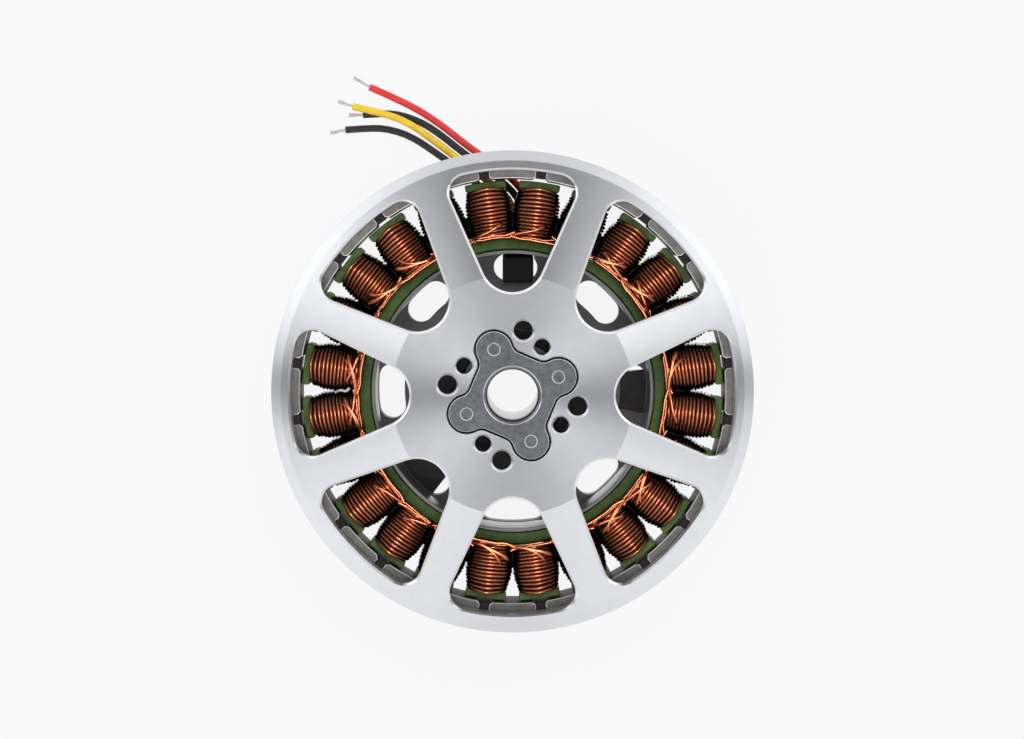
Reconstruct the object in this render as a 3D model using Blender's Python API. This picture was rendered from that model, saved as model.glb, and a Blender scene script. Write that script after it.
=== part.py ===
"""Outrunner motor: a spoked bell carrying 24 magnets turns round a wound 24-tooth stator on a cup-shaped base.

Metres, +Z up. The motor stands on its base at z = 0, with the axis of rotation on Z and the bell's face on top.
"""

import math

import bmesh
import bpy
from mathutils import Matrix, Vector

# Clearances
SEAT_GAP = 0.0002
PRESS_GAP = 0.0001
BALL_CLEARANCE = 0.00014
FLOOR_GAP = 0.00004

# Stator
TOOTH_COUNT = 24
STATOR_RADIUS = 0.04915
SLOT_DEPTH = 0.01155
BACK_IRON_WALL = 0.0026
STACK_HEIGHT = 0.0115
TOOTH_WIDTH = 0.0044
TIP_THICKNESS = 0.0019
TIP_SHOULDER = 0.0004
SLOT_OPENING = 0.0031
COIL_ROOT_INSET = 0.0014
COIL_TIP_GAP = 0.0003
COIL_SIDE_GAP = 0.0004
COIL_TIP_WIDTH = 0.0098
COIL_OVERHANG = 0.0023
COIL_CORNER_RADIUS = 0.0019
CROSSOVER_RADIUS = 0.00035
CROSSOVER_PITCH = 0.0008
CROSSOVER_INSET = 0.0007
CROSSOVER_ENTRY_SHARE = 0.55
PHASES = ("a", "b", "c")

# Magnets and flux ring
MAGNET_COUNT = 24
AIR_GAP = 0.00045
MAGNET_THICKNESS = 0.0026
MAGNET_ARC_SHARE = 0.833
MAGNET_CHAMFER = 0.0006
MAGNET_OVERHANG_TOP = 0.0006
MAGNET_OVERHANG_BOTTOM = 0.0020
RING_WALL = 0.0034
FLOOR_CLEARANCE = 0.0034
RING_CHAMFER = 0.0006
REGISTER_CLEARANCE = 0.0006
REGISTER_DEPTH = 0.0012
REGISTER_WALL = 0.0015

# Bell
CONE_DROP = 0.0120
HUB_DISC_RADIUS = 0.0274
BEVEL_WIDTH = 0.0024
BEVEL_DROP = 0.0021
RIM_BAND = 0.0025
RIM_OVERHANG = 0.0002
RIM_FACE_WIDTH = 0.0021
HUB_THICKNESS = 0.0048
SPOKE_THICKNESS = 0.0036
BOSS_WALL = 0.0033
BOSS_LENGTH = 0.0053
WINDOW_COUNT = 8
WINDOW_INNER_END = 0.02345
WINDOW_CORNER_RADIUS = 0.0042
SPOKE_ROOT_WIDTH = 0.0090
SPOKE_TIP_WIDTH = 0.0074
EDGE_CHAMFER = 0.0005

# Hub face
BIG_HOLE_RADIUS = 0.00216
BIG_HOLE_CIRCLE = 0.0150
BIG_HOLE_ANGLE = 80.6
BIG_HOLE_CHAMFER = 0.00055
SMALL_HOLE_RADIUS = 0.00183
SMALL_HOLE_CIRCLE = 0.0129
SMALL_HOLE_ANGLE = 58.6
SMALL_HOLE_CHAMFER = 0.0004
LOBE_COUNT = 4
LOBE_ANGLE = 22.0
LOBE_CIRCLE = 0.01127
LOBE_RADIUS = 0.0041
FLANGE_FLAT = 0.0094
FLANGE_FILLET = 0.0030
FLANGE_THICKNESS = 0.0022
FLANGE_BORE_LIP = 0.0002
FLANGE_BORE_CHAMFER = 0.00045
PIN_RADIUS = 0.00145
PIN_DEPTH = 0.0012

# Shaft and bearings
SHAFT_RADIUS = 0.0075
SHAFT_WALL = 0.0016
SHAFT_FOOT = 0.0014
BEARING_SECTION = 0.0045
BEARING_WIDTH = 0.0050
BEARING_GROOVE = 0.0003
LOWER_BEARING_BOTTOM = 0.0042
BALL_COUNT = 8
BALL_RADIUS = 0.00106
CAGE_RADIUS = 0.00045
SHIM_THICKNESS = 0.0005
SHIM_WALL = 0.0012
CIRCLIP_THICKNESS = 0.0008
CIRCLIP_WIDTH = 0.0017
CIRCLIP_OPENING = 22.0
CIRCLIP_GROOVE = 0.0005
CIRCLIP_STEPS = 20

# Base
BASE_THICKNESS = 0.0050
BASE_EDGE_INSET = 0.0003
BASE_CHAMFER = 0.0008
LEDGE_RISE = 0.0033
CUP_WALL = 0.0008
CUP_RISE = 0.0006
BEARING_TUBE_WALL = 0.0025
BEARING_SHOULDER = 0.0011
BASE_SLOT_COUNT = 8
BASE_SLOT_WIDTH = 0.0059
BASE_SLOT_MARGIN = 0.0005
BASE_SLOT_ARC = 22.0
BASE_PAD_SLOTS = (0, 5)
BASE_PAD_ARC = 18.5
BASE_HOLE_COUNT = 4
BASE_HOLE_RADIUS = 0.00165
BASE_HOLE_INSET = 0.0002

# Lead sleeve
SLEEVE_CENTRE_X = 0.0014
SLEEVE_WIDTH = 0.0076
SLEEVE_FLOOR_LENGTH = 0.0061
SLEEVE_NECK_LENGTH = 0.0035
SLEEVE_TOP_HEIGHT = 0.0037
SLEEVE_TONGUE_TOP = 0.0046
SLEEVE_TONGUE_REACH = 0.0018
SLEEVE_EDGE = 0.0004

# Leads
LEAD_RADIUS = 0.00085
LEAD_PITCH = 0.00195
LEAD_STEP = 0.0042
LEAD_EXIT_DROP = 0.0004
STRAND_RADIUS = 0.00045

# Smoothness of round forms
BELL_STEPS = 48
BASE_STEPS = 40
SHAFT_STEPS = 24
HOLE_STEPS = 12

# Values that follow from those above
TOOTH_PITCH = 2.0 * math.pi / TOOTH_COUNT
MAGNET_PITCH = 2.0 * math.pi / MAGNET_COUNT
LEDGE_TOP = BASE_THICKNESS + LEDGE_RISE
STACK_BOTTOM = LEDGE_TOP + SEAT_GAP
STACK_TOP = STACK_BOTTOM + STACK_HEIGHT
TIP_INNER_RADIUS = STATOR_RADIUS - TIP_THICKNESS
BACK_IRON_RADIUS = TIP_INNER_RADIUS - SLOT_DEPTH
STATOR_BORE_RADIUS = BACK_IRON_RADIUS - BACK_IRON_WALL
COIL_ROOT_RADIUS = BACK_IRON_RADIUS + COIL_ROOT_INSET
COIL_TIP_RADIUS = TIP_INNER_RADIUS - TIP_SHOULDER - COIL_TIP_GAP
COIL_TOP = STACK_TOP + COIL_OVERHANG
COIL_BOTTOM = STACK_BOTTOM - COIL_OVERHANG
CROSSOVER_CIRCLE = COIL_ROOT_RADIUS - CROSSOVER_INSET
MAGNET_INNER = STATOR_RADIUS + AIR_GAP
MAGNET_OUTER = MAGNET_INNER + MAGNET_THICKNESS
MAGNET_TOP = STACK_TOP + MAGNET_OVERHANG_TOP
MAGNET_BOTTOM = STACK_BOTTOM - MAGNET_OVERHANG_BOTTOM
RING_INNER = MAGNET_OUTER + SEAT_GAP
RING_RADIUS = RING_INNER + RING_WALL
REGISTER_RADIUS = RING_INNER + REGISTER_WALL
BELL_RADIUS = RING_RADIUS + RIM_OVERHANG
BEVEL_INNER = BELL_RADIUS - BEVEL_WIDTH
REGISTER_BOTTOM = MAGNET_TOP + REGISTER_CLEARANCE
RIM_BOTTOM = REGISTER_BOTTOM + REGISTER_DEPTH
CONE_FOOT = RIM_BOTTOM + RIM_BAND + BEVEL_DROP
BELL_HEIGHT = CONE_FOOT + CONE_DROP
WINDOW_OUTER = BEVEL_INNER - RIM_FACE_WIDTH
CONE_SLOPE = CONE_DROP / (BEVEL_INNER - HUB_DISC_RADIUS)
HUB_UNDERSIDE = BELL_HEIGHT - HUB_THICKNESS
FLANGE_BOTTOM = BELL_HEIGHT - FLANGE_THICKNESS
POCKET_FLOOR = FLANGE_BOTTOM - SEAT_GAP
SHAFT_BORE_RADIUS = SHAFT_RADIUS - SHAFT_WALL
FLANGE_BORE_RADIUS = SHAFT_BORE_RADIUS + FLANGE_BORE_LIP
SHAFT_TOP = POCKET_FLOOR
BEARING_RADIUS = SHAFT_RADIUS + BEARING_SECTION
BEARING_SEAT_RADIUS = BEARING_RADIUS + SEAT_GAP
BEARING_TUBE_RADIUS = BEARING_SEAT_RADIUS + BEARING_TUBE_WALL
BOSS_RADIUS = SHAFT_RADIUS + BOSS_WALL
BOSS_BOTTOM = HUB_UNDERSIDE - BOSS_LENGTH
SHIM_BOTTOM = BOSS_BOTTOM - SEAT_GAP - SHIM_THICKNESS
UPPER_BEARING_TOP = SHIM_BOTTOM - SEAT_GAP
UPPER_BEARING_BOTTOM = UPPER_BEARING_TOP - BEARING_WIDTH
LOWER_BEARING_TOP = LOWER_BEARING_BOTTOM + BEARING_WIDTH
CIRCLIP_BOTTOM = LOWER_BEARING_BOTTOM - SEAT_GAP - CIRCLIP_THICKNESS
INNER_RING_INSIDE = SHAFT_RADIUS + PRESS_GAP
BALL_CIRCLE = (INNER_RING_INSIDE + BEARING_RADIUS) / 2.0
HALF_RACE_GAP = BALL_RADIUS + BALL_CLEARANCE - BEARING_GROOVE
INNER_RING_OUTSIDE = BALL_CIRCLE - HALF_RACE_GAP
OUTER_RING_INSIDE = BALL_CIRCLE + HALF_RACE_GAP
BASE_RADIUS = BACK_IRON_RADIUS - BASE_EDGE_INSET
CUP_OUTER = STATOR_BORE_RADIUS - SEAT_GAP
CUP_INNER = CUP_OUTER - CUP_WALL
CUP_TOP = STACK_TOP + CUP_RISE
BASE_SLOT_OUTER = CUP_INNER - BASE_SLOT_MARGIN
BASE_SLOT_INNER = BASE_SLOT_OUTER - BASE_SLOT_WIDTH
BASE_HOLE_CIRCLE = (BEARING_TUBE_RADIUS + BASE_SLOT_INNER) / 2.0 - BASE_HOLE_INSET
SLEEVE_SEAT = BASE_THICKNESS + SEAT_GAP
SLEEVE_FAR_SIDE = SLEEVE_CENTRE_X + SLEEVE_WIDTH / 2.0
SLEEVE_CUP_END = math.sqrt((CUP_INNER - 2.0 * SEAT_GAP) ** 2 - SLEEVE_FAR_SIDE**2)
SLEEVE_INNER_END = SLEEVE_CUP_END - SLEEVE_FLOOR_LENGTH
SLEEVE_EXIT_Y = BASE_RADIUS + SLEEVE_TONGUE_REACH
LEAD_EXIT_Y = SLEEVE_EXIT_Y + SEAT_GAP
LEAD_EXIT_Z = SLEEVE_TONGUE_TOP / 2.0
LEAD_FLOOR = LEAD_RADIUS + FLOOR_GAP

# Routes of the four leads from the sleeve to the end of the insulation, then the tip of the bare strands.
# The first points are set by the sleeve.
LEAD_ROUTES = {
    "lead_red": (
        (0.00395, 0.04250, LEAD_FLOOR),
        (0.00220, 0.04710, LEAD_FLOOR),
        (-0.00295, 0.05220, LEAD_FLOOR),
        (-0.01030, 0.05740, LEAD_FLOOR),
        (-0.01740, 0.06290, LEAD_FLOOR),
        (-0.02340, 0.06670, LEAD_FLOOR),
        (-0.02960, 0.06970, LEAD_FLOOR),
        (-0.03410, 0.07170, LEAD_FLOOR),
    ),
    "lead_black_a": (
        (0.00205, 0.04220, LEAD_FLOOR),
        (0.00055, 0.04610, LEAD_FLOOR),
        (-0.00435, 0.05065, LEAD_FLOOR),
        (-0.01140, 0.05580, LEAD_FLOOR),
        (-0.01830, 0.06110, LEAD_FLOOR),
        (-0.02290, 0.06370, LEAD_FLOOR),
        (-0.02860, 0.06530, LEAD_FLOOR),
        (-0.03570, 0.06510, LEAD_FLOOR),
    ),
    "lead_yellow": (
        (0.00014, 0.04190, LEAD_FLOOR),
        (-0.00110, 0.04510, LEAD_FLOOR),
        (-0.00575, 0.04915, LEAD_FLOOR),
        (-0.01250, 0.05420, LEAD_FLOOR),
        (-0.01850, 0.05870, 0.00120),
        (-0.02300, 0.06190, 0.00260),
        (-0.02720, 0.06410, 0.00290),
        (-0.03140, 0.06540, 0.00290),
        (-0.03800, 0.06700, 0.00250),
    ),
    "lead_black_b": (
        (-0.00177, 0.04160, LEAD_FLOOR),
        (-0.00275, 0.04400, LEAD_FLOOR),
        (-0.00715, 0.04760, LEAD_FLOOR),
        (-0.01360, 0.05260, LEAD_FLOOR),
        (-0.01890, 0.05640, LEAD_FLOOR),
        (-0.02300, 0.05910, LEAD_FLOOR),
        (-0.02700, 0.06090, LEAD_FLOOR),
        (-0.03120, 0.06180, LEAD_FLOOR),
        (-0.03520, 0.06180, LEAD_FLOOR),
        (-0.03990, 0.06150, LEAD_FLOOR),
    ),
}
STRAND_TIPS = {
    "lead_red": (-0.0381, 0.0741, LEAD_FLOOR),
    "lead_black_a": (-0.0393, 0.0650, LEAD_FLOOR),
    "lead_yellow": (-0.0418, 0.0683, 0.0013),
    "lead_black_b": (-0.0439, 0.0607, LEAD_FLOOR),
}
LEAD_ORDER = ("lead_black_b", "lead_yellow", "lead_black_a", "lead_red")
LEAD_COLOURS = {
    "lead_red": (0.72, 0.08, 0.07),
    "lead_yellow": (0.90, 0.62, 0.06),
    "lead_black_a": (0.03, 0.035, 0.04),
    "lead_black_b": (0.03, 0.035, 0.04),
}


def clear_scene():
    """Remove every object that the file opened with."""
    for obj in list(bpy.data.objects):
        bpy.data.objects.remove(obj, do_unlink=True)


def make_material(name, colour, roughness, metallic):
    """A Principled material of one colour."""
    material = bpy.data.materials.new(name)
    material.use_nodes = True
    shader = material.node_tree.nodes["Principled BSDF"]
    shader.inputs["Base Color"].default_value = (*colour, 1.0)
    shader.inputs["Roughness"].default_value = roughness
    shader.inputs["Metallic"].default_value = metallic
    material.diffuse_color = (*colour, 1.0)
    return material


def make_axis(name):
    """An empty on the motor's axis, which carries the pieces of one body."""
    empty = bpy.data.objects.new(name, None)
    empty.empty_display_size = BEARING_RADIUS
    bpy.context.scene.collection.objects.link(empty)
    return empty


def add_object(name, shape, material=None, parent=None):
    """Turn a bmesh into a smooth-shaded object."""
    bmesh.ops.recalc_face_normals(shape, faces=shape.faces)
    mesh = bpy.data.meshes.new(name)
    shape.to_mesh(mesh)
    shape.free()
    mesh.shade_smooth()
    mesh.set_sharp_from_angle(angle=math.radians(30.0))
    obj = bpy.data.objects.new(name, mesh)
    bpy.context.scene.collection.objects.link(obj)
    if material:
        mesh.materials.append(material)
    obj.parent = parent
    return obj


def add_tool(name, shape):
    """A helper solid for a Boolean, which isn't a piece of the motor."""
    tool = add_object(name, shape)
    tool.hide_render = True
    tool.display_type = "WIRE"
    return tool


def add_boolean(obj, tool, operation, overlapping=False):
    """Put a Boolean modifier with this helper solid, whose parts may overlap each other, on the object."""
    modifier = obj.modifiers.new(f"{operation.title()} {tool.name}", "BOOLEAN")
    modifier.operation = operation
    modifier.object = tool
    modifier.solver = "EXACT"
    modifier.use_self = overlapping


def polar(radius, angle):
    """The point at this radius and angle in radians."""
    return Vector((radius * math.cos(angle), radius * math.sin(angle)))


def arc_points(centre, radius, start, end, steps):
    """Points along an arc about a centre, with both ends, angles in radians."""
    return [
        Vector(centre) + polar(radius, start + (end - start) * step / steps)
        for step in range(steps + 1)
    ]


def circle_points(centre, radius, steps):
    """The corners of a round outline about a centre."""
    return arc_points(centre, radius, 0.0, 2.0 * math.pi, steps)[:-1]


def turn(points, angle):
    """Flat points turned about the axis."""
    rotation = Matrix.Rotation(angle, 2)
    return [rotation @ point for point in points]


def revolve(profile, steps):
    """A closed (radius, height) profile spun round the axis."""
    shape = bmesh.new()
    corners = [shape.verts.new((radius, 0.0, height)) for radius, height in profile]
    edges = [
        shape.edges.new((corner, corners[(index + 1) % len(corners)]))
        for index, corner in enumerate(corners)
    ]
    bmesh.ops.spin(
        shape,
        geom=corners + edges,
        cent=(0.0, 0.0, 0.0),
        axis=(0.0, 0.0, 1.0),
        angle=2.0 * math.pi,
        steps=steps,
        use_merge=True,
    )
    bmesh.ops.remove_doubles(shape, verts=shape.verts, dist=1e-7)
    return shape


def extrude_plate(shape, outlines, bottom, top):
    """Fill the first outline, less the holes that follow it, and extrude it from bottom to top."""
    edges = []
    for outline in outlines:
        corners = [shape.verts.new((point.x, point.y, bottom)) for point in outline]
        edges += [
            shape.edges.new((corner, corners[(index + 1) % len(corners)]))
            for index, corner in enumerate(corners)
        ]
    filled = bmesh.ops.triangle_fill(shape, use_beauty=True, edges=edges)["geom"]
    faces = [item for item in filled if isinstance(item, bmesh.types.BMFace)]
    extruded = bmesh.ops.extrude_face_region(shape, geom=faces, use_keep_orig=True)["geom"]
    raised = [item for item in extruded if isinstance(item, bmesh.types.BMVert)]
    bmesh.ops.translate(shape, verts=raised, vec=(0.0, 0.0, top - bottom))


def loft_rings(shape, rings):
    """Join rings of points with equal counts into a closed solid, with a flat cap on each end."""
    levels = [[shape.verts.new(point) for point in ring] for ring in rings]
    count = len(levels[0])
    for lower, upper in zip(levels, levels[1:]):
        for index in range(count):
            after = (index + 1) % count
            shape.faces.new((lower[index], lower[after], upper[after], upper[index]))
    shape.faces.new(list(reversed(levels[0])))
    shape.faces.new(levels[-1])


def raised(points, height):
    """Flat points lifted to one height."""
    return [Vector((point.x, point.y, height)) for point in points]


def cone_height(radius):
    """Height of the bell's outer face at this radius: a flat hub, then a cone down to the rim."""
    return BELL_HEIGHT - CONE_SLOPE * max(0.0, radius - HUB_DISC_RADIUS)


def window_outline():
    """(point, outward normal) pairs round one bell window, which is centred on +X.

    Two straight sides run along the neighbouring spokes. A round closes them at the hub, and an arc with two
    corner fillets closes them at the rim.
    """
    half_pitch = math.pi / WINDOW_COUNT
    root = turn([Vector((HUB_DISC_RADIUS, -SPOKE_ROOT_WIDTH / 2.0))], half_pitch)[0]
    tip = turn([Vector((WINDOW_OUTER, -SPOKE_TIP_WIDTH / 2.0))], half_pitch)[0]
    side_angle = math.atan2(tip.y - root.y, tip.x - root.x)
    apex = root.x - root.y / math.tan(side_angle)
    end_radius = (WINDOW_INNER_END - apex) / (1.0 / math.sin(side_angle) - 1.0)
    end_centre = Vector((WINDOW_INNER_END + end_radius, 0.0))
    along = Vector((math.cos(side_angle), math.sin(side_angle)))
    inward = Vector((math.sin(side_angle), -math.cos(side_angle)))
    start = Vector((apex, 0.0)) + inward * WINDOW_CORNER_RADIUS
    reach = start.dot(along)
    limit = WINDOW_OUTER - WINDOW_CORNER_RADIUS
    corner = start + along * (math.sqrt(reach**2 - start.length_squared + limit**2) - reach)
    corner_angle = math.atan2(corner.y, corner.x)
    side_normal = math.pi / 2.0 + side_angle
    arcs = (
        (Vector((0.0, 0.0)), WINDOW_OUTER, 0.0, corner_angle, 2),
        (corner, WINDOW_CORNER_RADIUS, corner_angle, side_normal, 3),
        (end_centre, end_radius, side_normal, math.pi, 4),
    )
    half = []
    for centre, radius, first, last, steps in arcs:
        for step in range(steps + 1):
            normal = polar(1.0, first + (last - first) * step / steps)
            point = centre + normal * radius
            if not half or (point - half[-1][0]).length > 1e-6:
                half.append((point, normal))
    mirrored = [(Vector((p.x, -p.y)), Vector((n.x, -n.y))) for p, n in reversed(half[1:-1])]
    return half + mirrored


def add_chamfered_window(shape, angle):
    """A solid that cuts one bell window, with a chamfer that follows the cone."""
    outline = window_outline()
    straight = [point for point, normal in outline]
    chamfer_foot = []
    chamfer_head = []
    for point, normal in outline:
        edge = point + normal * EDGE_CHAMFER
        foot_height = cone_height(point.length) - EDGE_CHAMFER
        head = point + normal * 2.0 * EDGE_CHAMFER
        chamfer_foot.append(Vector((point.x, point.y, foot_height)))
        chamfer_head.append(Vector((head.x, head.y, 2.0 * cone_height(edge.length) - foot_height)))
    rings = [
        raised(straight, REGISTER_BOTTOM - EDGE_CHAMFER),
        chamfer_foot,
        chamfer_head,
        raised([point.to_2d() for point in chamfer_head], BELL_HEIGHT + 4.0 * EDGE_CHAMFER),
    ]
    rotation = Matrix.Rotation(angle, 3, "Z")
    loft_rings(shape, [[rotation @ point for point in ring] for ring in rings])


def add_chamfered_hole(shape, centre, radius, chamfer, bottom, top):
    """A solid that cuts a round hole with a countersunk mouth at the top."""
    loft_rings(
        shape,
        [
            raised(circle_points(centre, radius, HOLE_STEPS), bottom),
            raised(circle_points(centre, radius, HOLE_STEPS), top - chamfer),
            raised(circle_points(centre, radius + 2.0 * chamfer, HOLE_STEPS), top + chamfer),
        ],
    )


def flange_outline(growth):
    """Outline of the four-lobed shaft flange: a square with a round lobe at each corner and fillets between them."""
    half_turn = math.pi / LOBE_COUNT
    lobe_centre = Vector((LOBE_CIRCLE, 0.0))
    fillet_reach = FLANGE_FLAT + FLANGE_FILLET
    normal = polar(1.0, half_turn)
    along = Vector((-normal.y, normal.x))
    rise = fillet_reach - LOBE_CIRCLE * math.cos(half_turn)
    slide = math.sqrt((LOBE_RADIUS + FLANGE_FILLET) ** 2 - rise**2) - LOBE_CIRCLE * math.sin(half_turn)
    fillet_centre = normal * fillet_reach + along * slide
    lobe_limit = math.atan2(fillet_centre.y - lobe_centre.y, fillet_centre.x - lobe_centre.x)
    fillet_radius = FLANGE_FILLET - growth
    lobe = arc_points(lobe_centre, LOBE_RADIUS + growth, -lobe_limit, lobe_limit, 6)
    leaving = arc_points(fillet_centre, fillet_radius, lobe_limit + math.pi, half_turn + math.pi, 3)
    entering = [Vector((point.x, -point.y)) for point in reversed(leaving)]
    one_lobe = entering[:-1] + lobe + leaving[1:]
    points = []
    for index in range(LOBE_COUNT):
        points += turn(one_lobe, math.radians(LOBE_ANGLE) + 2.0 * half_turn * index)
    return points


def lobe_centres():
    """Centres of the flange's four pins."""
    step = 2.0 * math.pi / LOBE_COUNT
    return [polar(LOBE_CIRCLE, math.radians(LOBE_ANGLE) + step * index) for index in range(LOBE_COUNT)]


def build_bell(material, parent):
    """The turned bell with its eight windows, hub holes and flange pocket."""
    bore = SHAFT_RADIUS + PRESS_GAP
    shape = revolve(
        (
            (bore, BELL_HEIGHT),
            (HUB_DISC_RADIUS, BELL_HEIGHT),
            (BEVEL_INNER, CONE_FOOT),
            (BELL_RADIUS, CONE_FOOT - BEVEL_DROP),
            (BELL_RADIUS, RIM_BOTTOM),
            (REGISTER_RADIUS - SEAT_GAP, RIM_BOTTOM),
            (REGISTER_RADIUS - SEAT_GAP, REGISTER_BOTTOM),
            (WINDOW_OUTER, REGISTER_BOTTOM),
            (WINDOW_OUTER, cone_height(WINDOW_OUTER) - SPOKE_THICKNESS),
            (HUB_DISC_RADIUS, HUB_UNDERSIDE),
            (BOSS_RADIUS, HUB_UNDERSIDE),
            (BOSS_RADIUS, BOSS_BOTTOM),
            (bore, BOSS_BOTTOM),
        ),
        BELL_STEPS,
    )
    bell = add_object("rotor_bell", shape, material, parent)

    openings = bmesh.new()
    for index in range(WINDOW_COUNT):
        add_chamfered_window(openings, 2.0 * math.pi * index / WINDOW_COUNT)
    hole_bottom = HUB_UNDERSIDE - EDGE_CHAMFER
    for index in range(LOBE_COUNT):
        quarter = 2.0 * math.pi * index / LOBE_COUNT
        big = polar(BIG_HOLE_CIRCLE, math.radians(BIG_HOLE_ANGLE) + quarter)
        small = polar(SMALL_HOLE_CIRCLE, math.radians(SMALL_HOLE_ANGLE) + quarter)
        add_chamfered_hole(openings, big, BIG_HOLE_RADIUS, BIG_HOLE_CHAMFER, hole_bottom, BELL_HEIGHT)
        add_chamfered_hole(openings, small, SMALL_HOLE_RADIUS, SMALL_HOLE_CHAMFER, hole_bottom, BELL_HEIGHT)
    add_boolean(bell, add_tool("bell_openings", openings), "DIFFERENCE")

    pocket = bmesh.new()
    extrude_plate(pocket, [flange_outline(SEAT_GAP)], POCKET_FLOOR, BELL_HEIGHT + EDGE_CHAMFER)
    add_boolean(bell, add_tool("flange_pocket", pocket), "DIFFERENCE")

    pin_holes = bmesh.new()
    for centre in lobe_centres():
        outline = circle_points(centre, PIN_RADIUS + PRESS_GAP, HOLE_STEPS)
        extrude_plate(pin_holes, [outline], POCKET_FLOOR - PIN_DEPTH - SEAT_GAP, BELL_HEIGHT)
    add_boolean(bell, add_tool("pin_holes", pin_holes), "DIFFERENCE")


def build_flux_ring(material, parent):
    """The steel ring that carries the magnets, with a rebate that takes the bell's register."""
    shape = revolve(
        (
            (RING_INNER, REGISTER_BOTTOM - SEAT_GAP),
            (REGISTER_RADIUS, REGISTER_BOTTOM - SEAT_GAP),
            (REGISTER_RADIUS, RIM_BOTTOM - SEAT_GAP),
            (RING_RADIUS, RIM_BOTTOM - SEAT_GAP),
            (RING_RADIUS, FLOOR_CLEARANCE + RING_CHAMFER),
            (RING_RADIUS - RING_CHAMFER, FLOOR_CLEARANCE),
            (RING_INNER, FLOOR_CLEARANCE),
        ),
        BELL_STEPS,
    )
    add_object("flux_ring", shape, material, parent)


def build_magnets(material, parent):
    """Arc magnets on the inside of the flux ring, each with its two inner corners chamfered."""
    half_arc = MAGNET_PITCH * MAGNET_ARC_SHARE / 2.0
    corner_arc = MAGNET_CHAMFER / MAGNET_INNER
    outer = arc_points((0.0, 0.0), MAGNET_OUTER, -half_arc, half_arc, 2)
    inner = arc_points((0.0, 0.0), MAGNET_INNER, half_arc - corner_arc, corner_arc - half_arc, 2)
    shoulders = arc_points((0.0, 0.0), MAGNET_INNER + MAGNET_CHAMFER, half_arc, -half_arc, 1)
    outline = outer + shoulders[:1] + inner + shoulders[1:]
    for index in range(MAGNET_COUNT):
        shape = bmesh.new()
        points = turn(outline, MAGNET_PITCH * index)
        extrude_plate(shape, [points], MAGNET_BOTTOM, MAGNET_TOP)
        add_object(f"magnet_{index + 1:02d}", shape, material, parent)


def build_shaft(shaft_material, flange_material, parent):
    """The hollow shaft, the lobed flange over its end and the four pins that fix the flange to the bell."""
    groove_bottom = CIRCLIP_BOTTOM - PRESS_GAP
    groove_top = CIRCLIP_BOTTOM + CIRCLIP_THICKNESS + PRESS_GAP
    shape = revolve(
        (
            (SHAFT_BORE_RADIUS, SHAFT_TOP),
            (SHAFT_RADIUS, SHAFT_TOP),
            (SHAFT_RADIUS, groove_top),
            (SHAFT_RADIUS - CIRCLIP_GROOVE, groove_top),
            (SHAFT_RADIUS - CIRCLIP_GROOVE, groove_bottom),
            (SHAFT_RADIUS, groove_bottom),
            (SHAFT_RADIUS, SHAFT_FOOT),
            (SHAFT_BORE_RADIUS, SHAFT_FOOT),
        ),
        SHAFT_STEPS,
    )
    add_object("hollow_shaft", shape, shaft_material, parent)

    plate = bmesh.new()
    holes = [circle_points(centre, PIN_RADIUS + PRESS_GAP, HOLE_STEPS) for centre in lobe_centres()]
    bore = circle_points((0.0, 0.0), FLANGE_BORE_RADIUS, SHAFT_STEPS)
    extrude_plate(plate, [flange_outline(0.0), bore] + holes, FLANGE_BOTTOM, BELL_HEIGHT)
    flange = add_object("shaft_flange", plate, flange_material, parent)
    mouth = bmesh.new()
    reach = 2.0 * FLANGE_BORE_CHAMFER
    loft_rings(
        mouth,
        [
            raised(circle_points((0.0, 0.0), FLANGE_BORE_RADIUS - FLANGE_BORE_CHAMFER, SHAFT_STEPS),
                   BELL_HEIGHT - reach),
            raised(circle_points((0.0, 0.0), FLANGE_BORE_RADIUS + reach, SHAFT_STEPS),
                   BELL_HEIGHT + FLANGE_BORE_CHAMFER),
        ],
    )
    add_boolean(flange, add_tool("flange_bore_mouth", mouth), "DIFFERENCE")

    for index, centre in enumerate(lobe_centres()):
        pin = bmesh.new()
        outline = circle_points(centre, PIN_RADIUS, HOLE_STEPS)
        extrude_plate(pin, [outline], POCKET_FLOOR - PIN_DEPTH, BELL_HEIGHT - PRESS_GAP)
        add_object(f"flange_pin_{index + 1}", pin, flange_material, parent)


def build_retainers(material, parent):
    """The shim over the upper bearing and the circlip under the lower one."""
    shim_top = SHIM_BOTTOM + SHIM_THICKNESS
    shim = revolve(
        (
            (INNER_RING_INSIDE, SHIM_BOTTOM),
            (INNER_RING_INSIDE + SHIM_WALL, SHIM_BOTTOM),
            (INNER_RING_INSIDE + SHIM_WALL, shim_top),
            (INNER_RING_INSIDE, shim_top),
        ),
        SHAFT_STEPS,
    )
    add_object("bearing_shim", shim, material, parent)

    inner = SHAFT_RADIUS - CIRCLIP_GROOVE + PRESS_GAP
    outer = inner + CIRCLIP_WIDTH
    half_gap = math.radians(CIRCLIP_OPENING)
    lug = CIRCLIP_WIDTH / outer
    outline = arc_points((0.0, 0.0), inner, half_gap, 2.0 * math.pi - half_gap, CIRCLIP_STEPS)
    outline += [polar(outer + CIRCLIP_THICKNESS, -half_gap), polar(outer + CIRCLIP_THICKNESS, -half_gap - lug)]
    outline += arc_points((0.0, 0.0), outer, 2.0 * math.pi - half_gap - lug, half_gap + lug, CIRCLIP_STEPS)
    outline += [polar(outer + CIRCLIP_THICKNESS, half_gap + lug), polar(outer + CIRCLIP_THICKNESS, half_gap)]
    clip = bmesh.new()
    extrude_plate(clip, [outline], CIRCLIP_BOTTOM, CIRCLIP_BOTTOM + CIRCLIP_THICKNESS)
    add_object("shaft_circlip", clip, material, parent)


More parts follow.
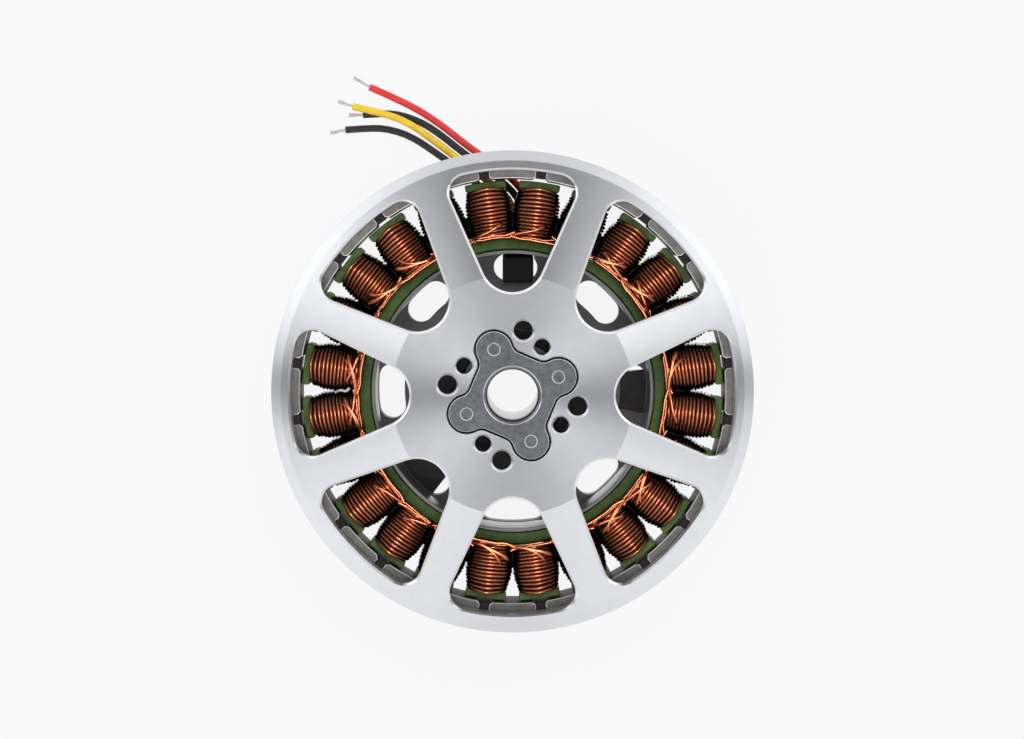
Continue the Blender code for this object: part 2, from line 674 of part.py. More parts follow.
def build_bearing(name, bottom, material, rotor, stator, ball_axis):
    """A ball bearing: the outer ring stays with the base, the inner ring with the shaft, the balls run between."""
    top = bottom + BEARING_WIDTH
    middle = bottom + BEARING_WIDTH / 2.0
    half_groove = BALL_RADIUS
    outer = revolve(
        (
            (BEARING_RADIUS, top),
            (BEARING_RADIUS, bottom),
            (OUTER_RING_INSIDE, bottom),
            (OUTER_RING_INSIDE, middle - half_groove),
            (OUTER_RING_INSIDE + BEARING_GROOVE, middle),
            (OUTER_RING_INSIDE, middle + half_groove),
            (OUTER_RING_INSIDE, top),
        ),
        SHAFT_STEPS,
    )
    add_object(f"{name}_outer_ring", outer, material, stator)
    inner = revolve(
        (
            (INNER_RING_INSIDE, bottom),
            (INNER_RING_INSIDE, top),
            (INNER_RING_OUTSIDE, top),
            (INNER_RING_OUTSIDE, middle + half_groove),
            (INNER_RING_OUTSIDE - BEARING_GROOVE, middle),
            (INNER_RING_OUTSIDE, middle - half_groove),
            (INNER_RING_OUTSIDE, bottom),
        ),
        SHAFT_STEPS,
    )
    add_object(f"{name}_inner_ring", inner, material, rotor)
    add_object(f"{name}_balls", ball_ring(middle), material, ball_axis)


def ball_ring(height):
    """The balls and the cage wire that spaces them, as one beaded ring."""
    sides = 6
    stations = (-0.92, 0.0, 0.92)
    levels = []
    for ball in range(BALL_COUNT):
        for share in stations:
            angle = 2.0 * math.pi * ball / BALL_COUNT + share * BALL_RADIUS / BALL_CIRCLE
            bulge = max(CAGE_RADIUS, BALL_RADIUS * math.sqrt(1.0 - share**2))
            section = [polar(bulge, 2.0 * math.pi * side / sides) for side in range(sides)]
            levels.append([
                Vector(((BALL_CIRCLE + point.x) * math.cos(angle),
                        (BALL_CIRCLE + point.x) * math.sin(angle),
                        height + point.y))
                for point in section
            ])
    shape = bmesh.new()
    rings = [[shape.verts.new(point) for point in level] for level in levels]
    for index, ring in enumerate(rings):
        after = rings[(index + 1) % len(rings)]
        for side in range(sides):
            beside = (side + 1) % sides
            shape.faces.new((ring[side], ring[beside], after[beside], after[side]))
    return shape


def build_core(material, parent):
    """The laminated core: a back-iron ring with 24 T-shaped teeth."""
    half_tooth = TOOTH_WIDTH / 2.0
    tip_half_angle = (TOOTH_PITCH - SLOT_OPENING / STATOR_RADIUS) / 2.0
    root = Vector((math.sqrt(BACK_IRON_RADIUS**2 - half_tooth**2), half_tooth))
    neck = Vector((TIP_INNER_RADIUS - TIP_SHOULDER, half_tooth))
    half = arc_points((0.0, 0.0), STATOR_RADIUS, 0.0, tip_half_angle, 1)
    half += [polar(TIP_INNER_RADIUS, tip_half_angle), neck, root]
    mirrored = [Vector((point.x, -point.y)) for point in reversed(half[1:])]
    slot_floor = [polar(BACK_IRON_RADIUS, TOOTH_PITCH / 2.0)]
    outline = []
    for index in range(TOOTH_COUNT):
        outline += turn(mirrored + half + slot_floor, TOOTH_PITCH * (index + 0.5))
    shape = bmesh.new()
    bore = circle_points((0.0, 0.0), STATOR_BORE_RADIUS, 2 * TOOTH_COUNT)
    extrude_plate(shape, [outline, bore], STACK_BOTTOM, STACK_TOP)
    add_object("stator_core", shape, material, parent)


def add_coil(shape, angle):
    """One coil: a rounded block of turns wrapped round a tooth, which widens a little towards the tip."""
    root_half = COIL_ROOT_RADIUS * math.tan(TOOTH_PITCH / 2.0) - COIL_SIDE_GAP / 2.0
    hole_half = TOOTH_WIDTH / 2.0 + SEAT_GAP
    hole_low = STACK_BOTTOM - SEAT_GAP
    hole_high = STACK_TOP + SEAT_GAP
    corner_steps = 2
    rotation = Matrix.Rotation(angle, 3, "Z")
    outer_rings = []
    inner_rings = []
    for radius, half_width in ((COIL_ROOT_RADIUS, root_half), (COIL_TIP_RADIUS, COIL_TIP_WIDTH / 2.0)):
        inset = COIL_CORNER_RADIUS
        corners = (
            (half_width - inset, COIL_TOP - inset),
            (inset - half_width, COIL_TOP - inset),
            (inset - half_width, COIL_BOTTOM + inset),
            (half_width - inset, COIL_BOTTOM + inset),
        )
        ring = []
        for quarter, centre in enumerate(corners):
            first = math.pi / 2.0 * quarter
            ring += arc_points(centre, inset, first, first + math.pi / 2.0, corner_steps)
        hole = ((hole_half, hole_high), (-hole_half, hole_high), (-hole_half, hole_low), (hole_half, hole_low))
        outer_rings.append([shape.verts.new(rotation @ Vector((radius, p.x, p.y))) for p in ring])
        inner_rings.append([shape.verts.new(rotation @ Vector((radius, across, up))) for across, up in hole])
    per_corner = corner_steps + 1
    count = len(outer_rings[0])
    for index in range(count):
        after = (index + 1) % count
        shape.faces.new((outer_rings[0][index], outer_rings[0][after], outer_rings[1][after], outer_rings[1][index]))
    for corner in range(4):
        after = (corner + 1) % 4
        shape.faces.new((inner_rings[0][corner], inner_rings[0][after], inner_rings[1][after], inner_rings[1][corner]))
        for outer, inner in zip(outer_rings, inner_rings):
            first = corner * per_corner
            for step in range(corner_steps):
                shape.faces.new((inner[corner], outer[first + step], outer[first + step + 1]))
            last = first + corner_steps
            shape.faces.new((inner[corner], outer[last], outer[(last + 1) % count], inner[after]))


def sweep_wire(shape, points, radius, sides):
    """A closed tube through the points, with its section kept upright."""
    rings = []
    for index, point in enumerate(points):
        before = points[max(0, index - 1)]
        after = points[min(len(points) - 1, index + 1)]
        along = (after - before).normalized()
        across = along.cross(Vector((0.0, 0.0, 1.0))).normalized()
        up = across.cross(along)
        section = [polar(radius, 2.0 * math.pi * (side + 0.5) / sides) for side in range(sides)]
        rings.append([point + across * flat.x + up * flat.y for flat in section])
    loft_rings(shape, rings)


def build_windings(material, parent):
    """Three phase windings, each of eight coils on every third tooth, joined by crossover wires on the front."""
    phase_count = len(PHASES)
    coils_per_phase = TOOTH_COUNT // phase_count
    leave = COIL_TIP_WIDTH / 2.0 / COIL_ROOT_RADIUS
    entry = leave * CROSSOVER_ENTRY_SHARE
    for phase, letter in enumerate(PHASES):
        coils = bmesh.new()
        wires = bmesh.new()
        height = STACK_TOP + SEAT_GAP + CROSSOVER_RADIUS + CROSSOVER_PITCH * phase
        for turn_index in range(coils_per_phase):
            tooth = phase + phase_count * turn_index
            angle = TOOTH_PITCH * (tooth + 0.5)
            add_coil(coils, angle)
            if turn_index == coils_per_phase - 1:
                continue
            far = angle + TOOTH_PITCH * phase_count
            route = [polar(COIL_ROOT_RADIUS + CROSSOVER_INSET, angle + entry)]
            route += arc_points((0.0, 0.0), CROSSOVER_CIRCLE, angle + leave, far - leave, 2)
            route += [polar(COIL_ROOT_RADIUS + CROSSOVER_INSET, far - entry)]
            sweep_wire(wires, raised(route, height), CROSSOVER_RADIUS, 4)
        winding = add_object(f"winding_{letter}", coils, material, parent)
        add_boolean(winding, add_tool(f"crossovers_{letter}", wires), "UNION")


def slot_outline(start, end):
    """Outline of a curved slot in the base, with full-round ends. Angles in degrees."""
    middle = (BASE_SLOT_INNER + BASE_SLOT_OUTER) / 2.0
    end_radius = (BASE_SLOT_OUTER - BASE_SLOT_INNER) / 2.0
    inset = math.asin(end_radius / middle)
    first = math.radians(start) + inset
    last = math.radians(end) - inset
    outline = arc_points((0.0, 0.0), BASE_SLOT_OUTER, first, last, 2)
    outline += arc_points(polar(middle, last), end_radius, last, last + math.pi, 5)[1:-1]
    outline += arc_points((0.0, 0.0), BASE_SLOT_INNER, last, first, 2)
    outline += arc_points(polar(middle, first), end_radius, first + math.pi, first + 2.0 * math.pi, 5)[1:-1]
    return outline


def slit_outline(start, end):
    """Outline of what a pad leaves open of a slot: the part of its round end past the pad's straight edge."""
    middle = (BASE_SLOT_INNER + BASE_SLOT_OUTER) / 2.0
    end_radius = (BASE_SLOT_OUTER - BASE_SLOT_INNER) / 2.0
    last = math.radians(end) - math.asin(end_radius / middle)
    edge_offset = middle * math.sin(math.radians(start + BASE_PAD_ARC) - last)
    half_open = math.acos(edge_offset / end_radius)
    tangent = last + math.pi / 2.0
    return arc_points(polar(middle, last), end_radius, tangent - half_open, tangent + half_open, 6)


def box_outline(low_x, high_x, low_y, high_y):
    """The four corners of a rectangle."""
    return [Vector(corner) for corner in ((low_x, low_y), (high_x, low_y), (high_x, high_y), (low_x, high_y))]


def build_base(material, parent):
    """The base: a slotted floor with the bearing tube, the cup wall that the core slides over and its ledge."""
    shoulder = BEARING_RADIUS - BEARING_SHOULDER
    shape = revolve(
        (
            (BEARING_SEAT_RADIUS, 0.0),
            (BASE_RADIUS - BASE_CHAMFER, 0.0),
            (BASE_RADIUS, BASE_CHAMFER),
            (BASE_RADIUS, LEDGE_TOP),
            (CUP_OUTER, LEDGE_TOP),
            (CUP_OUTER, CUP_TOP),
            (CUP_INNER, CUP_TOP),
            (CUP_INNER, BASE_THICKNESS),
            (BEARING_TUBE_RADIUS, BASE_THICKNESS),
            (BEARING_TUBE_RADIUS, UPPER_BEARING_TOP),
            (BEARING_SEAT_RADIUS, UPPER_BEARING_TOP),
            (BEARING_SEAT_RADIUS, UPPER_BEARING_BOTTOM - SEAT_GAP),
            (shoulder, UPPER_BEARING_BOTTOM - SEAT_GAP),
            (shoulder, LOWER_BEARING_TOP + SEAT_GAP),
            (BEARING_SEAT_RADIUS, LOWER_BEARING_TOP + SEAT_GAP),
        ),
        BASE_STEPS,
    )
    base = add_object("base_mount", shape, material, parent)

    cuts = bmesh.new()
    below = -BASE_CHAMFER
    above = BASE_THICKNESS + BASE_CHAMFER
    pitch = 360.0 / BASE_SLOT_COUNT
    for index in range(BASE_SLOT_COUNT):
        start = pitch * index - BASE_SLOT_ARC / 2.0
        end = start + BASE_SLOT_ARC
        outline = slit_outline(start, end) if index in BASE_PAD_SLOTS else slot_outline(start, end)
        extrude_plate(cuts, [outline], below, above)
    for index in range(BASE_HOLE_COUNT):
        centre = polar(BASE_HOLE_CIRCLE, 2.0 * math.pi * (index + 0.5) / BASE_HOLE_COUNT)
        extrude_plate(cuts, [circle_points(centre, BASE_HOLE_RADIUS, HOLE_STEPS)], below, above)

    half_width = SLEEVE_WIDTH / 2.0 + SEAT_GAP
    low_x = SLEEVE_CENTRE_X - half_width
    high_x = SLEEVE_CENTRE_X + half_width
    neck_start = SLEEVE_CUP_END - SLEEVE_NECK_LENGTH - SEAT_GAP
    extrude_plate(cuts, [box_outline(low_x, high_x, neck_start, CUP_INNER)], below, above)
    outline = box_outline(low_x, high_x, neck_start + SEAT_GAP, BASE_RADIUS + BASE_CHAMFER)
    extrude_plate(cuts, [outline], below, SLEEVE_TONGUE_TOP + SEAT_GAP)
    add_boolean(base, add_tool("base_cuts", cuts), "DIFFERENCE", overlapping=True)


def build_sleeve(material, parent):
    """The moulded sleeve that brings the leads out through the base's floor and under its ledge."""
    neck_start = SLEEVE_CUP_END - SLEEVE_NECK_LENGTH
    top = SLEEVE_SEAT + SLEEVE_TOP_HEIGHT
    profile = (
        (SLEEVE_INNER_END, SLEEVE_SEAT),
        (neck_start, SLEEVE_SEAT),
        (neck_start, SEAT_GAP),
        (SLEEVE_EXIT_Y, SEAT_GAP),
        (SLEEVE_EXIT_Y, SLEEVE_TONGUE_TOP),
        (SLEEVE_CUP_END, SLEEVE_TONGUE_TOP),
        (SLEEVE_CUP_END, top),
        (SLEEVE_INNER_END, top),
    )
    shape = bmesh.new()
    extrude_plate(shape, [[Vector(point) for point in profile]], -SLEEVE_WIDTH / 2.0, SLEEVE_WIDTH / 2.0)
    # The profile was drawn flat as (y, z), so it is stood up with its thickness along X.
    stand = Matrix(((0.0, 0.0, 1.0), (1.0, 0.0, 0.0), (0.0, 1.0, 0.0)))
    bmesh.ops.transform(shape, matrix=stand.to_4x4(), verts=shape.verts)
    bmesh.ops.translate(shape, vec=(SLEEVE_CENTRE_X, 0.0, 0.0), verts=shape.verts)
    bmesh.ops.recalc_face_normals(shape, faces=shape.faces)
    sleeve = add_object("lead_sleeve", shape, material, parent)
    bevel = sleeve.modifiers.new("Moulded edges", "BEVEL")
    bevel.width = SLEEVE_EDGE
    bevel.segments = 1
    bevel.limit_method = "ANGLE"
    bevel.angle_limit = math.radians(60.0)


def smooth_route(points, step):
    """Points about one step apart on a smooth curve through the given points, none lower than the floor lets it."""
    padded = [2.0 * points[0] - points[1]] + points + [2.0 * points[-1] - points[-2]]
    fine = []
    samples = 12
    for index in range(1, len(padded) - 2):
        p0, p1, p2, p3 = padded[index - 1: index + 3]
        for sample in range(samples):
            t = sample / samples
            fine.append(
                0.5 * (2.0 * p1 + (p2 - p0) * t + (2.0 * p0 - 5.0 * p1 + 4.0 * p2 - p3) * t**2
                       + (3.0 * p1 - p0 - 3.0 * p2 + p3) * t**3)
            )
    fine.append(points[-1])
    lengths = [0.0]
    for first, second in zip(fine, fine[1:]):
        lengths.append(lengths[-1] + (second - first).length)
    count = max(2, round(lengths[-1] / step))
    spaced = []
    place = 0
    for index in range(count + 1):
        target = lengths[-1] * index / count
        while place < len(fine) - 2 and lengths[place + 1] < target:
            place += 1
        share = (target - lengths[place]) / (lengths[place + 1] - lengths[place])
        point = fine[place].lerp(fine[place + 1], min(1.0, share))
        point.z = max(point.z, LEAD_FLOOR)
        spaced.append(point)
    return spaced


def add_tube(name, points, radius, material, parent):
    """A round cord as a bevelled curve with filled caps."""
    curve = bpy.data.curves.new(name, "CURVE")
    curve.dimensions = "3D"
    curve.bevel_depth = radius
    curve.bevel_resolution = 2
    curve.use_fill_caps = True
    spline = curve.splines.new("POLY")
    spline.points.add(len(points) - 1)
    for slot, point in zip(spline.points, points):
        slot.co = (*point, 1.0)
    spline.use_smooth = True
    curve.materials.append(material)
    obj = bpy.data.objects.new(name, curve)
    bpy.context.scene.collection.objects.link(obj)
    obj.parent = parent


def build_leads(parent):
    """Four insulated leads that leave the sleeve, pass under the skirt and lie on the floor, with bare ends."""
    strand_material = make_material("tinned_strands", (0.75, 0.74, 0.72), 0.35, 1.0)
    for index, name in enumerate(LEAD_ORDER):
        across = SLEEVE_CENTRE_X + LEAD_PITCH * (index - (len(LEAD_ORDER) - 1) / 2.0)
        start_point = (across, LEAD_EXIT_Y, LEAD_EXIT_Z)
        straight_end = (across, LEAD_EXIT_Y + 2.0 * LEAD_RADIUS, LEAD_EXIT_Z - LEAD_EXIT_DROP)
        route = [Vector(point) for point in (start_point, straight_end, *LEAD_ROUTES[name])]
        points = smooth_route(route, LEAD_STEP)
        material = make_material(f"{name}_insulation", LEAD_COLOURS[name], 0.45, 0.0)
        add_tube(name, points, LEAD_RADIUS, material, parent)
        end = points[-1]
        tip = Vector(STRAND_TIPS[name])
        start = end + (tip - end).normalized() * SEAT_GAP
        add_tube(f"{name}_end", [start, start.lerp(tip, 0.5), tip], STRAND_RADIUS, strand_material, parent)


def main():
    clear_scene()
    aluminium = make_material("machined_aluminium", (0.78, 0.79, 0.80), 0.3, 1.0)
    ring_steel = make_material("flux_ring_steel", (0.45, 0.45, 0.46), 0.35, 1.0)
    magnet = make_material("nickel_magnet", (0.24, 0.23, 0.22), 0.4, 1.0)
    bearing_steel = make_material("bearing_steel", (0.62, 0.62, 0.63), 0.2, 1.0)
    flange_steel = make_material("flange_steel", (0.28, 0.29, 0.31), 0.4, 1.0)
    dark_base = make_material("dark_anodised_base", (0.07, 0.07, 0.075), 0.45, 0.8)
    green_coat = make_material("green_epoxy_coat", (0.06, 0.12, 0.04), 0.45, 0.0)
    copper = make_material("enamelled_copper", (0.60, 0.22, 0.08), 0.3, 1.0)
    black_rubber = make_material("black_sleeve_rubber", (0.015, 0.015, 0.016), 0.6, 0.0)

    rotor = make_axis("rotor_axis")
    stator = make_axis("stator_axis")
    upper_balls = make_axis("upper_balls_axis")
    lower_balls = make_axis("lower_balls_axis")

    build_bell(aluminium, rotor)
    build_flux_ring(ring_steel, rotor)
    build_magnets(magnet, rotor)
    build_shaft(bearing_steel, flange_steel, rotor)
    build_retainers(bearing_steel, rotor)
    build_bearing("upper_bearing", UPPER_BEARING_BOTTOM, bearing_steel, rotor, stator, upper_balls)
    build_bearing("lower_bearing", LOWER_BEARING_BOTTOM, bearing_steel, rotor, stator, lower_balls)
    build_base(dark_base, stator)
    build_core(green_coat, stator)
    build_windings(copper, stator)
    build_sleeve(black_rubber, stator)
    build_leads(stator)


main()
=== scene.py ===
"""Looks of the outrunner motor: finishes, fine forms, windings, leads, a plain studio and the camera.

Metres, +Z up. The motor stands on its base, with the axis of rotation on Z and the bell's face on top.
"""

import logging
import math
import random
from dataclasses import dataclass
from enum import Enum
from typing import Callable, Sequence

import bmesh
import bpy
from mathutils import Matrix, Vector

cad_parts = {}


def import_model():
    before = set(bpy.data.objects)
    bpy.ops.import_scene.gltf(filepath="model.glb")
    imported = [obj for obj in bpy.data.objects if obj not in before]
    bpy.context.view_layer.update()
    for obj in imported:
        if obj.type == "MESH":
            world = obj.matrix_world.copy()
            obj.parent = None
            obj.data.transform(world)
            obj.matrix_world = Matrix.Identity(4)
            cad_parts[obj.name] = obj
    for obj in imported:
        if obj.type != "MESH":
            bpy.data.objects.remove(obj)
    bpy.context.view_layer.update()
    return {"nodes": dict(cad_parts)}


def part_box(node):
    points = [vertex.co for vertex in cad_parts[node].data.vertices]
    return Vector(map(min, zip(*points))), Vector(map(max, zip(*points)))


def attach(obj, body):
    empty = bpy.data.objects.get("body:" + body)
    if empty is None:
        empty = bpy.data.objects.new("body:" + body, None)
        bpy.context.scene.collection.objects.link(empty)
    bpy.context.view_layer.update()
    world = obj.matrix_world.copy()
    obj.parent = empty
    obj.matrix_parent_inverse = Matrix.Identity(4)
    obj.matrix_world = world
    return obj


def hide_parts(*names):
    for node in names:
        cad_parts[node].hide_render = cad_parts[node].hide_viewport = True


LOG = logging.getLogger("motor")
MM = 0.001
FULL_TURN = 2.0 * math.pi
Colour = tuple[float, float, float]
Flat = tuple[float, float]
Point = tuple[float, float, float]
AXIS: Flat = (0.0, 0.0)


class Body(Enum):
    """The bodies that the motor's pieces ride on."""

    ROTOR = "rotor"
    STATOR = "stator"
    UPPER_BALLS = "upper_balls"
    LOWER_BALLS = "lower_balls"


class Slot(Enum):
    """The record's material slots."""

    ALUMINIUM = "machined_aluminium"
    RING = "flux_ring_steel"
    MAGNET = "nickel_magnet"
    SHAFT = "shaft_steel"
    BEARING = "bearing_steel"
    FLANGE = "flange_steel"
    BASE = "dark_anodised_base"
    CORE = "green_epoxy_coat"
    COPPER = "enamelled_copper"
    SLEEVE = "black_sleeve_rubber"
    STRANDS = "tinned_strands"
    RED = "red_insulation"
    YELLOW = "yellow_insulation"
    BLACK = "black_insulation"


class Ends(Enum):
    """How a drawn-out form is closed."""

    CAPPED = "capped"
    JOINED = "joined"


def shade(red: int, green: int, blue: int) -> Colour:
    """A colour of a surface from its display values of 0 to 255."""
    return tuple(((c / 255.0 + 0.055) / 1.055) ** 2.4 if c > 10 else c / 3294.6 for c in (red, green, blue))


def polar(radius: float, angle: float) -> Vector:
    """The flat point at this radius and angle in radians."""
    return Vector((radius * math.cos(angle), radius * math.sin(angle)))


def arc(centre: Sequence[float], radius: float, start: float, end: float, steps: int) -> list[Vector]:
    """Points along an arc about a centre, with both ends. Angles in radians."""
    middle = Vector(centre[:2])
    return [middle + polar(radius, start + (end - start) * step / steps) for step in range(steps + 1)]


def circle(centre: Sequence[float], radius: float, steps: int) -> list[Vector]:
    """The corners of a round outline about a centre."""
    return arc(centre, radius, 0.0, FULL_TURN, steps)[:-1]


def turned_about(points: Sequence[Vector], angle: float) -> list[Vector]:
    """Flat points turned about the axis."""
    rotation = Matrix.Rotation(angle, 2)
    return [rotation @ point for point in points]


def lifted(points: Sequence[Vector], height: float) -> list[Vector]:
    """Flat points lifted to one height."""
    return [Vector((point.x, point.y, height)) for point in points]


def eased(profile: Sequence[Flat], radius: float, steps: int = 3) -> list[Vector]:
    """A closed profile whose corners are cut back by small curves.

    Args:
        profile: The corners in order.
        radius: How far from its corner each curve starts.
        steps: Straight pieces in each curve.

    Returns:
        The points of the softened profile.
    """
    corners = [Vector(corner) for corner in profile]
    points = []
    for index, corner in enumerate(corners):
        before = corners[index - 1] - corner
        after = corners[(index + 1) % len(corners)] - corner
        start = corner + before.normalized() * min(radius, 0.45 * before.length)
        end = corner + after.normalized() * min(radius, 0.45 * after.length)
        for step in range(steps + 1):
            share = step / steps
            points.append(start.lerp(corner, share).lerp(corner.lerp(end, share), share))
    return points


def pick(obj: bpy.types.Object) -> bpy.types.Object:
    """Select this object alone and make it the active one."""
    bpy.ops.object.select_all(action="DESELECT")
    obj.select_set(True)
    bpy.context.view_layer.objects.active = obj
    return obj


def named(name: str) -> bpy.types.Object:
    """Give the active object and its mesh this name."""
    obj = bpy.context.object
    obj.name = name
    obj.data.name = name
    return obj


def drawn_out(name: str, rings: Sequence[Sequence[Vector]], ends: Ends = Ends.CAPPED) -> bpy.types.Object:
    """A circle primitive that is extruded ring by ring.

    Args:
        name: The new object's name.
        rings: Rings of points, all with as many points.
        ends: Whether the two open ends get caps or are joined to each other.

    Returns:
        The closed piece.
    """
    bpy.ops.object.select_all(action="DESELECT")
    bpy.ops.mesh.primitive_circle_add(vertices=len(rings[0]), radius=1.0, fill_type="NOTHING")
    obj = named(name)
    for vertex, point in zip(obj.data.vertices, rings[0]):
        vertex.co = point
    bpy.ops.object.mode_set(mode="EDIT")
    bpy.ops.mesh.select_all(action="SELECT")
    for before, after in zip(rings, rings[1:]):
        bpy.ops.mesh.extrude_region_move()
        shape = bmesh.from_edit_mesh(obj.data)
        fresh = [vertex for vertex in shape.verts if vertex.select]
        moves = {tuple(round(value, 7) for value in old): new for old, new in zip(before, after)}
        for vertex in fresh:
            vertex.co = moves[tuple(round(value, 7) for value in vertex.co)]
        bmesh.update_edit_mesh(obj.data)
    if ends is Ends.JOINED:
        bpy.ops.mesh.select_all(action="DESELECT")
        shape = bmesh.from_edit_mesh(obj.data)
        for edge in shape.edges:
            if edge.is_boundary:
                edge.select_set(True)
        bmesh.update_edit_mesh(obj.data)
        bpy.ops.mesh.bridge_edge_loops()
    else:
        bpy.ops.mesh.select_all(action="SELECT")
        bpy.ops.mesh.fill_holes(sides=0)
    bpy.ops.mesh.select_all(action="SELECT")
    bpy.ops.mesh.normals_make_consistent(inside=False)
    bpy.ops.object.mode_set(mode="OBJECT")
    return obj


def lathe(name: str, profile: Sequence[Flat], steps: int, ease: float = 0.0) -> bpy.types.Object:
    """A piece turned from a closed (radius, height) profile round the axis."""
    corners = eased(profile, ease) if ease else [Vector(corner) for corner in profile]
    rings = [lifted(circle(AXIS, corner.x, steps), corner.y) for corner in corners]
    return drawn_out(name, rings, Ends.JOINED)


def stepped(name: str, levels: Sequence[tuple[Sequence[Vector], float]]) -> bpy.types.Object:
    """A piece whose outline changes from height to height, given as (outline, height) from below."""
    return drawn_out(name, [lifted(outline, height) for outline, height in levels])


def plate(name: str, outline: Sequence[Vector], bottom: float, top: float) -> bpy.types.Object:
    """A flat piece of one outline, from bottom to top."""
    return stepped(name, ((outline, bottom), (outline, top)))


def round_bar(name: str, centre: Sequence[float], levels: Sequence[Flat], steps: int) -> bpy.types.Object:
    """A round upright piece about a centre, given as (radius, height) from below."""
    return stepped(name, [(circle(centre, radius, steps), height) for radius, height in levels])


def wire(name: str, points: Sequence[Vector], radius: float, resolution: int = 2) -> bpy.types.Object:
    """A round wire through the points, as a closed mesh."""
    bpy.ops.object.select_all(action="DESELECT")
    bpy.ops.curve.primitive_nurbs_path_add()
    obj = named(name)
    lay_spline(obj.data, points, radius, resolution)
    bpy.ops.object.convert(target="MESH")
    return bpy.context.object


def lay_spline(curve: bpy.types.Curve, points: Sequence[Vector], radius: float, resolution: int) -> None:
    """Make a curve one open spline through the points, with a round section and filled ends."""
    curve.splines.clear()
    curve.dimensions = "3D"
    curve.bevel_depth = radius
    curve.bevel_resolution = resolution
    curve.use_fill_caps = True
    spline = curve.splines.new("POLY")
    spline.points.add(len(points) - 1)
    for place, point in zip(spline.points, points):
        place.co = (*point, 1.0)
    spline.use_smooth = True


def joined(name: str, pieces: Sequence[bpy.types.Object]) -> bpy.types.Object:
    """Join the pieces into one object."""
    pick(pieces[0])
    for piece in pieces:
        piece.select_set(True)
    if len(pieces) > 1:
        bpy.ops.object.join()
    return named(name)


def copied(obj: bpy.types.Object, name: str, angle: float) -> bpy.types.Object:
    """A copy with its own mesh, turned about the axis."""
    pick(obj)
    bpy.ops.object.duplicate(linked=False)
    copy = named(name)
    copy.data.transform(Matrix.Rotation(angle, 4, "Z"))
    return copy


def cut_with(obj: bpy.types.Object, tool: bpy.types.Object) -> None:
    """Cut the tool's form out of the object and remove the tool."""
    pick(obj)
    bpy.ops.object.modifier_add(type="BOOLEAN")
    modifier = obj.modifiers[-1]
    modifier.operation = "DIFFERENCE"
    modifier.solver = "EXACT"
    modifier.object = tool
    bpy.ops.object.modifier_apply(modifier=modifier.name)
    bpy.data.objects.remove(tool, do_unlink=True)


def bevelled(obj: bpy.types.Object, width: float, segments: int, angle: float = 50.0) -> None:
    """Round the edges that turn by more than the angle, in degrees."""
    pick(obj)
    bpy.ops.object.modifier_add(type="BEVEL")
    modifier = obj.modifiers[-1]
    modifier.width = width
    modifier.segments = segments
    modifier.limit_method = "ANGLE"
    modifier.angle_limit = math.radians(angle)
    modifier.use_clamp_overlap = True
    bpy.ops.object.modifier_apply(modifier=modifier.name)


def smoothed(obj: bpy.types.Object, angle: float = 32.0) -> None:
    """Shade smooth up to the angle, in degrees, and keep the flat faces flat."""
    pick(obj)
    bpy.ops.object.shade_smooth_by_angle(angle=math.radians(angle))
    bpy.ops.object.modifier_add(type="WEIGHTED_NORMAL")
    modifier = obj.modifiers[-1]
    modifier.keep_sharp = True
    bpy.ops.object.modifier_apply(modifier=modifier.name)


def rounded(obj: bpy.types.Object) -> None:
    """Shade the whole object smooth."""
    pick(obj)
    bpy.ops.object.shade_smooth()


def smooth_route(points: Sequence[Vector], step: float, floor: float = 0.0,
                 samples: int = 12) -> list[Vector]:
    """Points about one step apart on a smooth curve through the given points.

    Args:
        points: The route's own points.
        step: Distance between the points that come back.
        floor: The lowest height that a point may have.
        samples: Fine points between two of the route's own, from which the lengths are measured.

    Returns:
        The points along the curve, with both ends.
    """
    padded = [2.0 * points[0] - points[1], *points, 2.0 * points[-1] - points[-2]]
    fine = []
    for index in range(1, len(padded) - 2):
        p0, p1, p2, p3 = padded[index - 1: index + 3]
        for sample in range(samples):
            t = sample / samples
            fine.append(
                0.5 * (2.0 * p1 + (p2 - p0) * t + (2.0 * p0 - 5.0 * p1 + 4.0 * p2 - p3) * t**2
                       + (3.0 * p1 - p0 - 3.0 * p2 + p3) * t**3)
            )
    fine.append(points[-1])
    lengths = [0.0]
    for first, second in zip(fine, fine[1:]):
        lengths.append(lengths[-1] + (second - first).length)
    count = max(2, round(lengths[-1] / step))
    spaced = []
    place = 0
    for index in range(count + 1):
        target = lengths[-1] * index / count
        while place < len(fine) - 2 and lengths[place + 1] < target:
            place += 1
        share = (target - lengths[place]) / (lengths[place + 1] - lengths[place])
        point = fine[place].lerp(fine[place + 1], min(1.0, share))
        point.z = max(point.z, floor)
        spaced.append(point)
    return spaced


